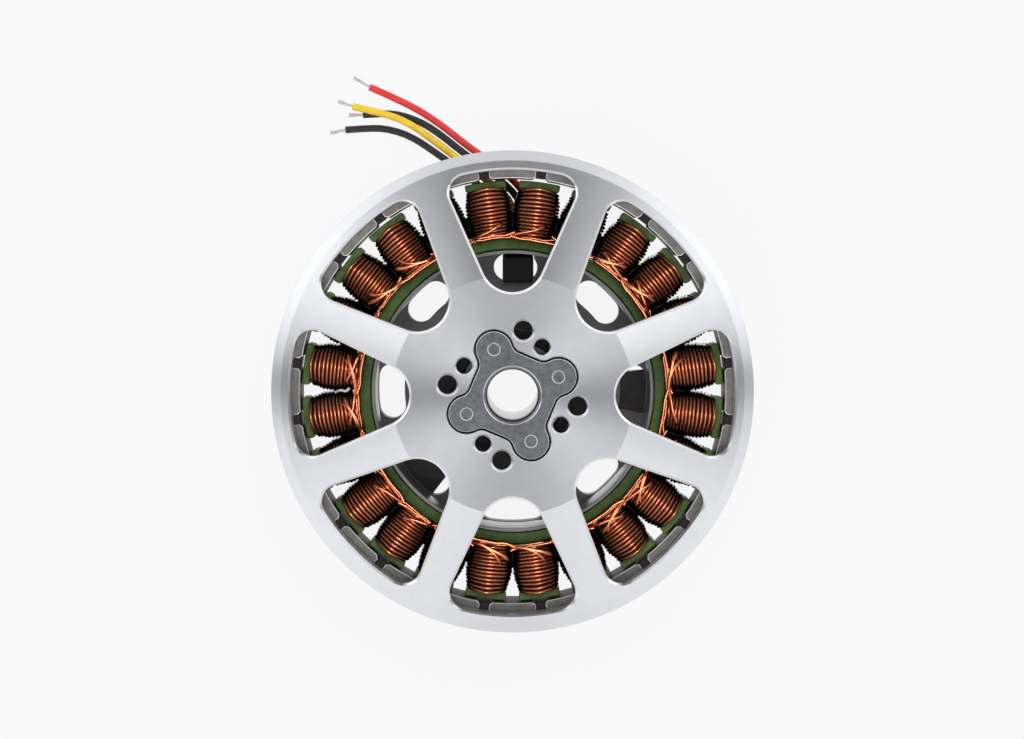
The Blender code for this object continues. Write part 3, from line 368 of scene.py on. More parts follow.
class Graph:
    """The nodes of a material or of the world, with short ways to add the ones that the scene needs."""

    def __init__(self, owner: bpy.types.Material | bpy.types.World) -> None:
        """Start with the owner's own nodes."""
        self.owner = owner
        owner.use_nodes = True
        self.tree = owner.node_tree

    def node(self, kind: str, inputs: dict | None = None, **settings: object) -> bpy.types.Node:
        """Add a node.

        Args:
            kind: Its Blender type.
            inputs: Values or sockets for its inputs, by name or number.
            settings: Values for its own properties.

        Returns:
            The new node.
        """
        node = self.tree.nodes.new(kind)
        for key, value in settings.items():
            setattr(node, key, value)
        for key, value in (inputs or {}).items():
            self.put(node.inputs[key], value)
        return node

    def put(self, socket: bpy.types.NodeSocket, value: object) -> None:
        """Give a socket a value, or link another socket to it."""
        if isinstance(value, bpy.types.NodeSocket):
            self.tree.links.new(value, socket)
        else:
            socket.default_value = value

    def surface(self, **values: object) -> None:
        """Set the shader's inputs, with underscores for the spaces in their names."""
        shader = self.tree.nodes["Principled BSDF"]
        for key, value in values.items():
            self.put(shader.inputs[key.replace("_", " ")], value)

    def worked_out(self, operation: str, *values: object) -> bpy.types.NodeSocket:
        """The result of a sum on one or two values."""
        return self.node("ShaderNodeMath", dict(enumerate(values)), operation=operation).outputs[0]

    def place(self) -> bpy.types.NodeSocket:
        """The point on the piece, in metres from the motor's axis."""
        return self.node("ShaderNodeTexCoord").outputs["Object"]

    def radius(self) -> bpy.types.NodeSocket:
        """The point's distance from the axis."""
        flat = self.node("ShaderNodeVectorMath", {0: self.place(), 1: (1.0, 1.0, 0.0)}, operation="MULTIPLY")
        return self.node("ShaderNodeVectorMath", {0: flat.outputs[0]}, operation="LENGTH").outputs["Value"]

    def height(self) -> bpy.types.NodeSocket:
        """The point's height."""
        return self.node("ShaderNodeSeparateXYZ", {0: self.place()}).outputs["Z"]

    def noise(self, size: float, detail: float = 3.0) -> bpy.types.NodeSocket:
        """Cloudy noise whose features are about this size."""
        inputs = {"Vector": self.place(), "Scale": 1.0 / size, "Detail": detail}
        return self.node("ShaderNodeTexNoise", inputs).outputs["Fac"]

    def ring_noise(self, size: float, detail: float = 2.0) -> bpy.types.NodeSocket:
        """Noise that changes with the radius alone, which draws rings about this wide."""
        inputs = {"W": self.radius(), "Scale": 1.0 / size, "Detail": detail}
        return self.node("ShaderNodeTexNoise", inputs, noise_dimensions="1D").outputs["Fac"]

    def span(self, value: bpy.types.NodeSocket, low: float, high: float,
             first: float = 0.3, last: float = 0.7) -> bpy.types.NodeSocket:
        """Spread a noise value over the range from low to high."""
        return self.node(
            "ShaderNodeMapRange",
            {"Value": value, "From Min": first, "From Max": last, "To Min": low, "To Max": high},
        ).outputs["Result"]

    def blend(self, share: bpy.types.NodeSocket, first: object, second: object) -> bpy.types.NodeSocket:
        """Mix two colours by a share from 0 to 1."""
        mix = self.node("ShaderNodeMix", data_type="RGBA")
        self.put(mix.inputs["Factor"], share)
        for socket, value in ((mix.inputs[6], first), (mix.inputs[7], second)):
            self.put(socket, (*value, 1.0) if isinstance(value, tuple) else value)
        return mix.outputs[2]

    def clouded(self, noise: bpy.types.NodeSocket, colour: Colour, darkest: float,
                lightest: float) -> bpy.types.NodeSocket:
        """The colour, made darker and lighter by these factors as the noise goes."""
        return self.blend(self.span(noise, 0.0, 1.0), scaled(colour, darkest), scaled(colour, lightest))

    def flecked(self, tone: bpy.types.NodeSocket, noise: bpy.types.NodeSocket, share: float, fleck: Colour,
                first: float = 0.3, last: float = 0.7) -> bpy.types.NodeSocket:
        """The tone with flecks of another colour where the noise is high.

        Args:
            tone: The colour so far.
            noise: Where the flecks lie.
            share: How much of the flecks' colour shows at most.
            fleck: The flecks' colour.
            first: Noise value where the flecks begin.
            last: Noise value where they are at their strongest.

        Returns:
            The new colour.
        """
        return self.blend(self.span(noise, 0.0, share, first, last), tone, fleck)

    def bump(self, height: bpy.types.NodeSocket, strength: float, depth: float,
             under: bpy.types.NodeSocket | None = None) -> bpy.types.NodeSocket:
        """A bumped normal from a height, laid over another one if given."""
        inputs = {"Height": height, "Strength": strength, "Distance": depth}
        if under is not None:
            inputs["Normal"] = under
        return self.node("ShaderNodeBump", inputs).outputs["Normal"]


def scaled(colour: Colour, factor: float) -> Colour:
    """The colour made lighter or darker."""
    return tuple(min(1.0, value * factor) for value in colour)


@dataclass(frozen=True)
class Finish:
    """A finish of one colour, which the kinds below give their detail."""

    name: str
    colour: Colour
    roughness: float

    def material(self) -> bpy.types.Material:
        """The finish's material, which is made on its first use."""
        known = bpy.data.materials.get(self.name)
        if known:
            return known
        graph = Graph(bpy.data.materials.new(self.name))
        graph.surface(Base_Color=(*self.colour, 1.0), Roughness=self.roughness)
        self.detail(graph)
        graph.owner.diffuse_color = (*self.colour, 1.0)
        return graph.owner

    def detail(self, graph: Graph) -> None:
        """Add what makes this kind of surface."""
        raise NotImplementedError

    def dress(self, obj: bpy.types.Object) -> None:
        """Make this the object's only finish."""
        obj.data.materials.clear()
        obj.data.materials.append(self.material())

    def dress_faces(self, obj: bpy.types.Object, chosen: Callable[[Vector, Vector], bool]) -> None:
        """Give this finish to the faces that the test picks by their centre and normal."""
        obj.data.materials.append(self.material())
        last = len(obj.data.materials) - 1
        for face in obj.data.polygons:
            if chosen(face.center, face.normal):
                face.material_index = last


@dataclass(frozen=True)
class CircularBrushed(Finish):
    """Metal turned or brushed in rings round the axis."""

    line_size: float = 0.11 * MM
    line_depth: float = 0.35
    pull: float = 0.75
    metallic: float = 1.0

    def detail(self, graph: Graph) -> None:
        """Rings of fine lines, broader bands, a light mottling and a radial stretch of the highlights."""
        lines = graph.ring_noise(self.line_size, 4.0)
        bands = graph.ring_noise(14.0 * self.line_size)
        cloud = graph.noise(3.2 * MM, 6.0)
        speck = graph.noise(0.22 * MM)
        tone = graph.clouded(cloud, self.colour, 0.97, 1.02)
        tone = graph.flecked(tone, lines, 0.35, scaled(self.colour, 0.84))
        tone = graph.flecked(tone, speck, 0.2, scaled(self.colour, 0.68), 0.45, 0.75)
        rough = graph.span(bands, self.roughness - 0.008, self.roughness + 0.008)
        tangent = graph.node("ShaderNodeTangent", direction_type="RADIAL", axis="Z")
        under = graph.bump(lines, self.line_depth, 0.006 * MM)
        graph.surface(
            Base_Color=tone, Roughness=rough, Metallic=self.metallic, Anisotropic=self.pull,
            Anisotropic_Rotation=0.25, Tangent=tangent.outputs["Tangent"],
            Normal=graph.bump(speck, 0.12, 0.01 * MM, under),
        )


@dataclass(frozen=True)
class Bright(Finish):
    """A fine machined edge or a ground metal face."""

    grain: float = 0.3 * MM

    def detail(self, graph: Graph) -> None:
        """A faint grain in the gloss."""
        grain = graph.noise(self.grain, 4.0)
        graph.surface(
            Metallic=1.0,
            Roughness=graph.span(grain, self.roughness - 0.05, self.roughness + 0.06),
            Base_Color=graph.clouded(grain, self.colour, 0.95, 1.0),
            Normal=graph.bump(grain, 0.08, 0.01 * MM),
        )


@dataclass(frozen=True)
class Mottled(Finish):
    """Dark steel with a mottled face and fine brush marks round the axis."""

    def detail(self, graph: Graph) -> None:
        """Clouds, specks and ring marks."""
        cloud = graph.noise(1.1 * MM, 6.0)
        marks = graph.ring_noise(0.1 * MM, 3.0)
        speck = graph.noise(0.14 * MM, 2.0)
        tone = graph.clouded(cloud, self.colour, 0.7, 1.3)
        tone = graph.flecked(tone, marks, 0.4, scaled(self.colour, 1.7))
        tone = graph.flecked(tone, speck, 0.3, scaled(self.colour, 0.45), 0.5, 0.75)
        graph.surface(
            Metallic=1.0, Base_Color=tone, Anisotropic=0.4,
            Roughness=graph.span(cloud, self.roughness - 0.08, self.roughness + 0.1),
            Normal=graph.bump(marks, 0.3, 0.008 * MM),
        )


@dataclass(frozen=True)
class Speckled(Finish):
    """Plated or anodised metal with a fine speckle and slight stains."""

    metallic: float = 1.0
    speckle: float = 0.18 * MM

    def detail(self, graph: Graph) -> None:
        """Two sizes of speckle, a broad stain and a rough bump."""
        fine = graph.noise(self.speckle, 4.0)
        stain = graph.noise(2.4 * MM, 5.0)
        tone = graph.clouded(stain, self.colour, 0.75, 1.2)
        tone = graph.flecked(tone, fine, 0.6, scaled(self.colour, 0.55))
        graph.surface(
            Metallic=self.metallic, Base_Color=tone,
            Roughness=graph.span(fine, self.roughness - 0.06, self.roughness + 0.12),
            Normal=graph.bump(fine, 0.25, 0.01 * MM),
        )


@dataclass(frozen=True)
class Coated(Finish):
    """A thick epoxy coat with a soft gloss and an orange-peel surface."""

    def detail(self, graph: Graph) -> None:
        """Lighter and darker patches, fine pits and a clear gloss."""
        cloud = graph.noise(1.8 * MM, 5.0)
        pits = graph.noise(0.35 * MM)
        tone = graph.clouded(cloud, self.colour, 0.72, 1.22)
        tone = graph.flecked(tone, pits, 0.3, scaled(self.colour, 1.9), 0.55, 0.8)
        graph.surface(
            Base_Color=tone, Coat_Weight=0.12, Coat_Roughness=0.25, Specular_IOR_Level=0.35,
            Roughness=graph.span(pits, self.roughness - 0.05, self.roughness + 0.1),
            Normal=graph.bump(pits, 0.35, 0.03 * MM),
        )


@dataclass(frozen=True)
class Enamelled(Finish):
    """Copper wire under a clear enamel, darkened by painted shade towards the coil's middle height so that
    only the end turns' crowns keep the full copper colour.
    """

    middle: float = 14.25 * MM
    unshaded_from: float = 8.35 * MM
    fully_shaded_to: float = 6.9 * MM
    painted_shade_share: float = 0.93

    def detail(self, graph: Graph) -> None:
        """Slow changes of tone, darker scuffs, painted shade by height and a coat."""
        slow = graph.noise(1.3 * MM)
        scuff = graph.noise(0.25 * MM)
        tone = graph.clouded(slow, self.colour, 0.72, 1.15)
        tone = graph.flecked(tone, scuff, 0.5, scaled(self.colour, 0.4), 0.55, 0.8)
        # Painted shade: the copper darkens from the end turns' crowns towards the coil's middle height,
        # which leaves the crowns lighter.
        offset = graph.worked_out("SUBTRACT", graph.height(), self.middle)
        reach = graph.worked_out("ABSOLUTE", offset)
        painted_shade = graph.span(reach, self.painted_shade_share, 0.0, self.fully_shaded_to, self.unshaded_from)
        tone = graph.blend(painted_shade, tone, scaled(self.colour, 0.03))
        graph.surface(
            Metallic=1.0, Base_Color=tone, Coat_Weight=0.5, Coat_Roughness=0.08,
            Roughness=graph.span(scuff, self.roughness - 0.05, self.roughness + 0.12),
            Normal=graph.bump(scuff, 0.1, 0.01 * MM),
        )


@dataclass(frozen=True)
class Moulded(Finish):
    """Rubber or silicone with a fine skin."""

    sheen: float = 0.15
    grain: float = 0.2 * MM

    def detail(self, graph: Graph) -> None:
        """A fine grain, faint scuffs and a little sheen."""
        fine = graph.noise(self.grain)
        scuff = graph.noise(2.5 * MM, 5.0)
        tone = graph.clouded(scuff, self.colour, 0.88, 1.14)
        graph.surface(
            Base_Color=tone, Sheen_Weight=self.sheen, Specular_IOR_Level=0.45,
            Roughness=graph.span(fine, self.roughness - 0.06, self.roughness + 0.1),
            Normal=graph.bump(fine, 0.2, 0.015 * MM),
        )


@dataclass(frozen=True)
class Laminated(Finish):
    """The bare edges of a stack of steel sheets."""

    sheet: float = 0.35 * MM

    def detail(self, graph: Graph) -> None:
        """A dark line at each sheet's edge and a fine grain."""
        wave = graph.worked_out("SINE", graph.worked_out("MULTIPLY", graph.height(), FULL_TURN / self.sheet))
        grain = graph.noise(0.3 * MM, 4.0)
        tone = graph.blend(graph.span(wave, 1.0, 0.0, -1.0, -0.4), self.colour, scaled(self.colour, 0.25))
        tone = graph.flecked(tone, grain, 0.4, scaled(self.colour, 0.6))
        graph.surface(Metallic=0.9, Base_Color=tone, Normal=graph.bump(wave, 0.5, 0.03 * MM))


BELL_FACE = CircularBrushed("brushed_bell_face", (0.88, 0.885, 0.895), 0.32, pull=0.9)
HUB_FACE = CircularBrushed("brushed_hub_face", (0.88, 0.885, 0.895), 0.45, pull=1.0)
# Painted shade: a near-black colour for the hub's holes and pocket, the flange's walls and the base round
# the bearing tube, where shade falls.
HOLLOW_SHADE = Moulded("oiled_bore", shade(46, 45, 44), 0.35, 0.0)
BELL_EDGE = Bright("bright_machined_edge", (0.84, 0.84, 0.85), 0.28)
RING_SIDE = CircularBrushed("zinc_ring_side", (0.60, 0.60, 0.61), 0.34, 0.2 * MM, 0.3, 0.5)
# Painted shade: the flux ring's inward faces, seen in the gaps between the magnets, are darkened for the
# shade there.
RING_INSIDE_SHADE = Speckled("dark_primer", shade(58, 54, 52), 0.55, 0.4)
MAGNET_FACE = Speckled("stained_nickel", shade(165, 160, 154), 0.42)
# Painted shade: the magnets' upright walls get a darker copy of the same nickel.
MAGNET_WALL_SHADE = Speckled("dark_nickel", shade(84, 72, 64), 0.5, 0.6)
# Painted highlight: the magnets' bevels are much lighter than their faces, for the bright lines along their
# edges.
MAGNET_EDGE_HIGHLIGHT = Bright("worn_nickel_edge", (0.80, 0.78, 0.75), 0.3)
# Painted shade: the resin between the magnets is near-black for the shade in the recessed gaps.
SHADED_RESIN = Moulded("dark_resin", shade(44, 36, 32), 0.5, 0.0)
FLANGE_FACE = Mottled("mottled_flange_steel", shade(124, 125, 127), 0.36)
# Painted highlight: the pins' slanted ring faces are near-white against the dark pin, for the thin bright
# ring round each pin.
PIN_RING_HIGHLIGHT = Bright("worn_pin_edge", (0.92, 0.92, 0.90), 0.6)
# Painted highlight: the flange's edge chamfer is much lighter than its face, for the bright line round the
# plate.
FLANGE_EDGE_HIGHLIGHT = Bright("bright_flange_edge", (0.86, 0.86, 0.84), 0.25)
SHAFT_WALL = Bright("ground_shaft", (0.90, 0.885, 0.86), 0.36)
# The shaft's dark top end, also used as painted shade down the top of its bore for the shadow line round the
# bore.
SHAFT_END_AND_SHADE = Moulded("dark_shaft_end", shade(20, 20, 22), 0.5)
BEARING_RING = Bright("polished_bearing", (0.34, 0.34, 0.35), 0.3)
BALLS = Bright("polished_balls", (0.80, 0.80, 0.82), 0.08)
BASE_FACE = CircularBrushed("dark_anodised", shade(150, 147, 145), 0.4, 0.18 * MM, 0.35, 0.5, 0.6)
CUP_WALL = CircularBrushed("turned_cup_wall", (0.74, 0.74, 0.74), 0.36, 0.25 * MM, 0.3, 0.3)
PAD_FACE = Speckled("dark_pad", shade(70, 66, 64), 0.36, 0.3)
CORE_COAT = Coated("green_epoxy", shade(82, 106, 50), 0.48)
CORE_EDGE = Laminated("lamination_edges", (0.42, 0.41, 0.40), 0.4)
COPPER = Enamelled("copper_enamel", (0.74, 0.21, 0.08), 0.2)
# Painted shade: a near-black block inside each coil, dark for the shade between the turns and between the
# coils.
FILLING_SHADE = Moulded("soaked_varnish", shade(26, 15, 11), 0.45, 0.0)
SLEEVE_SKIN = Moulded("black_moulding", shade(24, 24, 26), 0.42)
STRAND_METAL = Bright("tinned_copper", (0.94, 0.92, 0.89), 0.45)
BLACK_SILICONE = Moulded("black_silicone", shade(34, 37, 38), 0.4, 0.25)
INSULATION = {
    "lead_red": (Moulded("red_silicone", shade(222, 52, 50), 0.42, 0.25), Slot.RED),
    "lead_yellow": (Moulded("yellow_silicone", shade(246, 204, 44), 0.42, 0.25), Slot.YELLOW),
    "lead_black_a": (BLACK_SILICONE, Slot.BLACK),
    "lead_black_b": (BLACK_SILICONE, Slot.BLACK),
}


def is_wall(centre: Vector, normal: Vector) -> bool:
    """Whether a face stands upright, or nearly so."""
    return abs(normal.z) < 0.3


def is_slanted(normal: Vector, rise: Flat) -> bool:
    """Whether a face leans back, with the height of its normal between these two."""
    return rise[0] < normal.z < rise[1]


def seat(obj: bpy.types.Object, body: Body, slot: Slot, *nodes: str) -> bpy.types.Object:
    """Put a finished piece on its body, in place of the CAD nodes that it stands for."""
    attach(obj, body.value)
    if nodes:
        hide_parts(*nodes)
    LOG.info("%s on %s, in place of %s", obj.name, body.value, ", ".join(nodes) or "nothing")
    return obj


@dataclass(frozen=True)
class HoleRing:
    """A ring of countersunk holes in the hub, the first of them at this angle in degrees."""

    radius: float
    ring: float
    angle: float
    chamfer: float


@dataclass
class Bell:
    """The turned bell: a flat hub with its holes, a cone with eight chamfered windows and a bevelled rim."""

    top: float
    radius: float
    foot: float
    boss_bottom: float = 28.9 * MM
    steps: int = 192
    edge: float = 0.12 * MM
    hub_radius: float = 27.4 * MM
    cone_drop: float = 12.0 * MM
    bevel_width: float = 2.4 * MM
    bevel_drop: float = 2.1 * MM
    rim_band: float = 2.5 * MM
    register_radius: float = 53.7 * MM
    register_depth: float = 1.2 * MM
    rim_face: float = 2.1 * MM
    hub_thickness: float = 4.8 * MM
    spoke_thickness: float = 3.6 * MM
    boss_radius: float = 10.8 * MM
    bore: float = 7.6 * MM
    window_count: int = 8
    window_inner: float = 23.45 * MM
    window_corner: float = 4.2 * MM
    spoke_root: float = 9.0 * MM
    spoke_tip: float = 7.4 * MM
    chamfer: float = 0.5 * MM
    hole_steps: int = 48
    big_holes: HoleRing = HoleRing(2.16 * MM, 15.0 * MM, 80.6, 0.55 * MM)
    small_holes: HoleRing = HoleRing(1.83 * MM, 12.9 * MM, 58.6, 0.4 * MM)
    pocket_depth: float = 2.4 * MM
    pocket_gap: float = 0.42 * MM
    pocket_chamfer: float = 0.24 * MM
    pin_hole_depth: float = 1.4 * MM
    pin_gap: float = 0.05 * MM
    ring_gap: float = 0.2 * MM
    painted_shade_radius: float = 19.0 * MM
    chamfer_rise: Flat = (0.35, 0.86)

    @property
    def bevel_inner(self) -> float:
        """Radius where the cone meets the rim's bevel."""
        return self.radius - self.bevel_width

    @property
    def window_outer(self) -> float:
        """Radius of the windows' outer ends."""
        return self.bevel_inner - self.rim_face

    def cone_height(self, radius: float) -> float:
        """Height of the bell's outer face at this radius."""
        slope = self.cone_drop / (self.bevel_inner - self.hub_radius)
        return self.top - slope * max(0.0, radius - self.hub_radius)

    def window_outline(self) -> list[tuple[Vector, Vector]]:
        """Points round the window that is centred on +X, each with its outward normal.

        Returns:
            Pairs of point and normal, along the rim, round a corner, down a spoke and round the hub's end.
        """
        half_pitch = math.pi / self.window_count
        root = turned_about([Vector((self.hub_radius, -self.spoke_root / 2.0))], half_pitch)[0]
        tip = turned_about([Vector((self.window_outer, -self.spoke_tip / 2.0))], half_pitch)[0]
        side_angle = math.atan2(tip.y - root.y, tip.x - root.x)
        apex = root.x - root.y / math.tan(side_angle)
        end_radius = (self.window_inner - apex) / (1.0 / math.sin(side_angle) - 1.0)
        end_centre = Vector((self.window_inner + end_radius, 0.0))
        along = Vector((math.cos(side_angle), math.sin(side_angle)))
        inward = Vector((math.sin(side_angle), -math.cos(side_angle)))
        start = Vector((apex, 0.0)) + inward * self.window_corner
        reach = start.dot(along)
        limit = self.window_outer - self.window_corner
        corner = start + along * (math.sqrt(reach**2 - start.length_squared + limit**2) - reach)
        corner_angle = math.atan2(corner.y, corner.x)
        side_normal = math.pi / 2.0 + side_angle
        arcs = (
            (Vector(AXIS), self.window_outer, 0.0, corner_angle, 12),
            (corner, self.window_corner, corner_angle, side_normal, 14),
            (end_centre, end_radius, side_normal, math.pi, 20),
        )
        half = []
        for centre, radius, first, last, steps in arcs:
            for step in range(steps + 1):
                normal = polar(1.0, first + (last - first) * step / steps)
                point = centre + normal * radius
                if not half or (point - half[-1][0]).length > 0.001 * MM:
                    half.append((point, normal))
        mirrored = [(Vector((p.x, -p.y)), Vector((n.x, -n.y))) for p, n in reversed(half[1:-1])]
        return half + mirrored

    def window_tool(self, angle: float) -> bpy.types.Object:
        """A solid that cuts one window, with a chamfer that follows the cone."""
        outline = self.window_outline()
        foot, head = [], []
        for point, normal in outline:
            foot_height = self.cone_height(point.length) - self.chamfer
            edge = point + normal * self.chamfer
            mouth = point + normal * 2.0 * self.chamfer
            foot.append(Vector((point.x, point.y, foot_height)))
            head.append(Vector((mouth.x, mouth.y, 2.0 * self.cone_height(edge.length) - foot_height)))
        low = self.foot - self.register_depth - self.chamfer
        rings = [
            lifted([point for point, normal in outline], low),
            foot,
            head,
            lifted(head, self.top + 4.0 * self.chamfer),
        ]
        rotation = Matrix.Rotation(angle, 3, "Z")
        return drawn_out("window_tool", [[rotation @ point for point in ring] for ring in rings])

    def hole_tool(self, centre: Vector, hole: HoleRing) -> bpy.types.Object:
        """A solid that cuts a hub hole with a countersunk mouth."""
        return round_bar("hole_tool", centre, (
            (hole.radius, self.top - self.hub_thickness - self.chamfer),
            (hole.radius, self.top - hole.chamfer),
            (hole.radius + 2.0 * hole.chamfer, self.top + hole.chamfer),
        ), self.hole_steps)

    def turned_blank(self) -> bpy.types.Object:
        """The bell as it leaves the lathe, before its openings are cut."""
        cone_foot = self.top - self.cone_drop
        bottom = cone_foot - self.bevel_drop - self.rim_band
        register = self.register_radius
        return lathe("rotor_bell_turned", (
            (self.bore, self.top),
            (self.hub_radius, self.top),
            (self.bevel_inner, cone_foot),
            (self.radius, cone_foot - self.bevel_drop),
            (self.radius, bottom),
            (register, bottom),
            (register, bottom - self.register_depth),
            (self.window_outer, bottom - self.register_depth),
            (self.window_outer, self.cone_height(self.window_outer) - self.spoke_thickness),
            (self.hub_radius, self.top - self.hub_thickness),
            (self.boss_radius, self.top - self.hub_thickness),
            (self.boss_radius, self.boss_bottom),
            (self.bore, self.boss_bottom),
        ), self.steps, self.edge)

    def build(self, flange: "Flange") -> bpy.types.Object:
        """Turn the bell, cut its openings and dress it."""
        bell = self.turned_blank()
        tools = []
        for index in range(self.window_count):
            tools.append(self.window_tool(FULL_TURN * index / self.window_count))
        for holes in (self.big_holes, self.small_holes):
            for index in range(flange.lobe_count):
                place = math.radians(holes.angle) + FULL_TURN * index / flange.lobe_count
                tools.append(self.hole_tool(polar(holes.ring, place), holes))
        cut_with(bell, joined("openings_tool", tools))

        floor = self.top - self.pocket_depth
        cut_with(bell, stepped("pocket_tool", (
            (flange.outline(self.pocket_gap), floor),
            (flange.outline(self.pocket_gap), self.top - self.pocket_chamfer),
            (flange.outline(self.pocket_gap + 2.0 * self.pocket_chamfer), self.top + self.pocket_chamfer),
        )))
        levels = [(flange.pin_radius + self.pin_gap, floor + side * self.pin_hole_depth) for side in (-1, 1)]
        pins = [round_bar("pin_tool", centre, levels, self.hole_steps) for centre in flange.lobe_centres()]
        cut_with(bell, joined("pin_tools", pins))
        smoothed(bell)
        BELL_FACE.dress(bell)
        # The hub's holes, pocket and boss get painted shade.
        HOLLOW_SHADE.dress_faces(bell, self.is_painted_shade)
        HUB_FACE.dress_faces(bell, lambda centre, normal: centre.z > self.top - 0.01 * MM)
        BELL_EDGE.dress_faces(bell, self.is_chamfer)
        return seat(bell, Body.ROTOR, Slot.ALUMINIUM, "rotor_bell")

    def is_painted_shade(self, centre: Vector, normal: Vector) -> bool:
        """Whether a face belongs to the inside of the hub, which gets painted shade: a hole's wall, the
        pocket or the boss.
        """
        inside = is_wall(centre, normal) or centre.z < self.top - MM
        return inside and centre.to_2d().length < self.painted_shade_radius

    def is_chamfer(self, centre: Vector, normal: Vector) -> bool:
        """Whether a face is one of the narrow chamfers round the openings."""
        inside_rim = centre.to_2d().length < self.bevel_inner - self.edge
        above_foot = centre.z > self.top - self.cone_drop
        return inside_rim and above_foot and is_slanted(normal, self.chamfer_rise)


@dataclass
class Flange:
    """The dark four-lobed plate let into the hub's face, with its pins."""

    top: float
    bottom: float
    lobe_count: int = 4
    lobe_angle: float = 22.0
    lobe_circle: float = 11.27 * MM
    lobe_radius: float = 4.1 * MM
    flat: float = 9.4 * MM
    fillet: float = 3.0 * MM
    bore: float = 6.1 * MM
    bore_chamfer: float = 0.45 * MM
    lip: float = 0.16 * MM
    lip_depth: float = 0.12 * MM
    edge: float = 0.14 * MM
    pin_radius: float = 1.56 * MM
    pin_ring: float = 0.17 * MM
    pin_bottom: float = 1.2 * MM
    pin_gap: float = 0.02 * MM
    pin_drop: float = 0.02 * MM
    pin_steps: int = 40
    edge_rise: Flat = (0.3, 0.95)
    pin_edge_rise: Flat = (0.2, 0.97)
    steps: int = 96

    def outline(self, growth: float) -> list[Vector]:
        """The outline of the plate, grown outwards: four round lobes with fillets between them."""
        half_turn = math.pi / self.lobe_count
        centre = Vector((self.lobe_circle, 0.0))
        reach = self.flat + self.fillet
        normal = polar(1.0, half_turn)
        along = Vector((-normal.y, normal.x))
        rise = reach - self.lobe_circle * math.cos(half_turn)
        slide = math.sqrt((self.lobe_radius + self.fillet) ** 2 - rise**2)
        slide -= self.lobe_circle * math.sin(half_turn)
        fillet_centre = normal * reach + along * slide
        limit = math.atan2(fillet_centre.y - centre.y, fillet_centre.x - centre.x)
        lobe = arc(centre, self.lobe_radius + growth, -limit, limit, 28)
        leaving = arc(fillet_centre, self.fillet - growth, limit + math.pi, half_turn + math.pi, 10)
        entering = [Vector((point.x, -point.y)) for point in reversed(leaving)]
        quarter = entering[:-1] + lobe + leaving[1:]
        points = []
        for index in range(self.lobe_count):
            points += turned_about(quarter, math.radians(self.lobe_angle) + 2.0 * half_turn * index)
        return points

    def lobe_centres(self) -> list[Vector]:
        """Centres of the four pins."""
        step = FULL_TURN / self.lobe_count
        return [polar(self.lobe_circle, math.radians(self.lobe_angle) + step * index)
                for index in range(self.lobe_count)]

    def build(self) -> None:
        """Make the plate and its pins."""
        flange = stepped("shaft_flange_plate", (
            (self.outline(0.0), self.bottom),
            (self.outline(0.0), self.top - self.edge),
            (self.outline(-self.edge), self.top),
        ))
        mouth = self.bore + self.bore_chamfer
        tools = [round_bar("bore_tool", AXIS, (
            (self.bore, self.bottom - self.edge),
            (self.bore, self.top - self.bore_chamfer),
            (mouth, self.top - self.lip_depth),
            (mouth + 2.0 * self.lip, self.top + self.lip_depth),
        ), self.steps)]
        hole = self.pin_radius + self.pin_gap
        levels = ((hole, self.bottom - self.edge), (hole, self.top + self.edge))
        tools += [round_bar("pin_tool", centre, levels, self.pin_steps) for centre in self.lobe_centres()]
        cut_with(flange, joined("flange_tools", tools))
        smoothed(flange)
        FLANGE_FACE.dress(flange)
        # The flange's upright walls get painted shade, for the dark gap round the plate.
        HOLLOW_SHADE.dress_faces(flange, is_wall)
        # The flange's outer chamfer gets a painted highlight.
        FLANGE_EDGE_HIGHLIGHT.dress_faces(flange, lambda centre, normal: is_slanted(normal, self.edge_rise)
                                and centre.to_2d().length > mouth)
        seat(flange, Body.ROTOR, Slot.FLANGE, "shaft_flange")
        self.build_pins()

    def build_pins(self) -> None:
        """Turn the four pins, each with a raised ring round a shallow dish."""
        crest = self.top - self.pin_drop
        rim = crest - 0.4 * self.pin_ring
        for number, centre in enumerate(self.lobe_centres(), 1):
            pin = round_bar(f"flange_pin_{number}_turned", centre, (
                (self.pin_radius, self.bottom - self.pin_bottom),
                (self.pin_radius, rim),
                (self.pin_radius - self.pin_ring, crest),
                (self.pin_radius - 1.5 * self.pin_ring, rim),
            ), self.pin_steps)
            smoothed(pin)
            FLANGE_FACE.dress(pin)
            # The pin's slanted ring faces get a painted highlight.
            PIN_RING_HIGHLIGHT.dress_faces(pin, lambda centre, normal: is_slanted(normal, self.pin_edge_rise))
            seat(pin, Body.ROTOR, Slot.FLANGE, f"flange_pin_{number}")


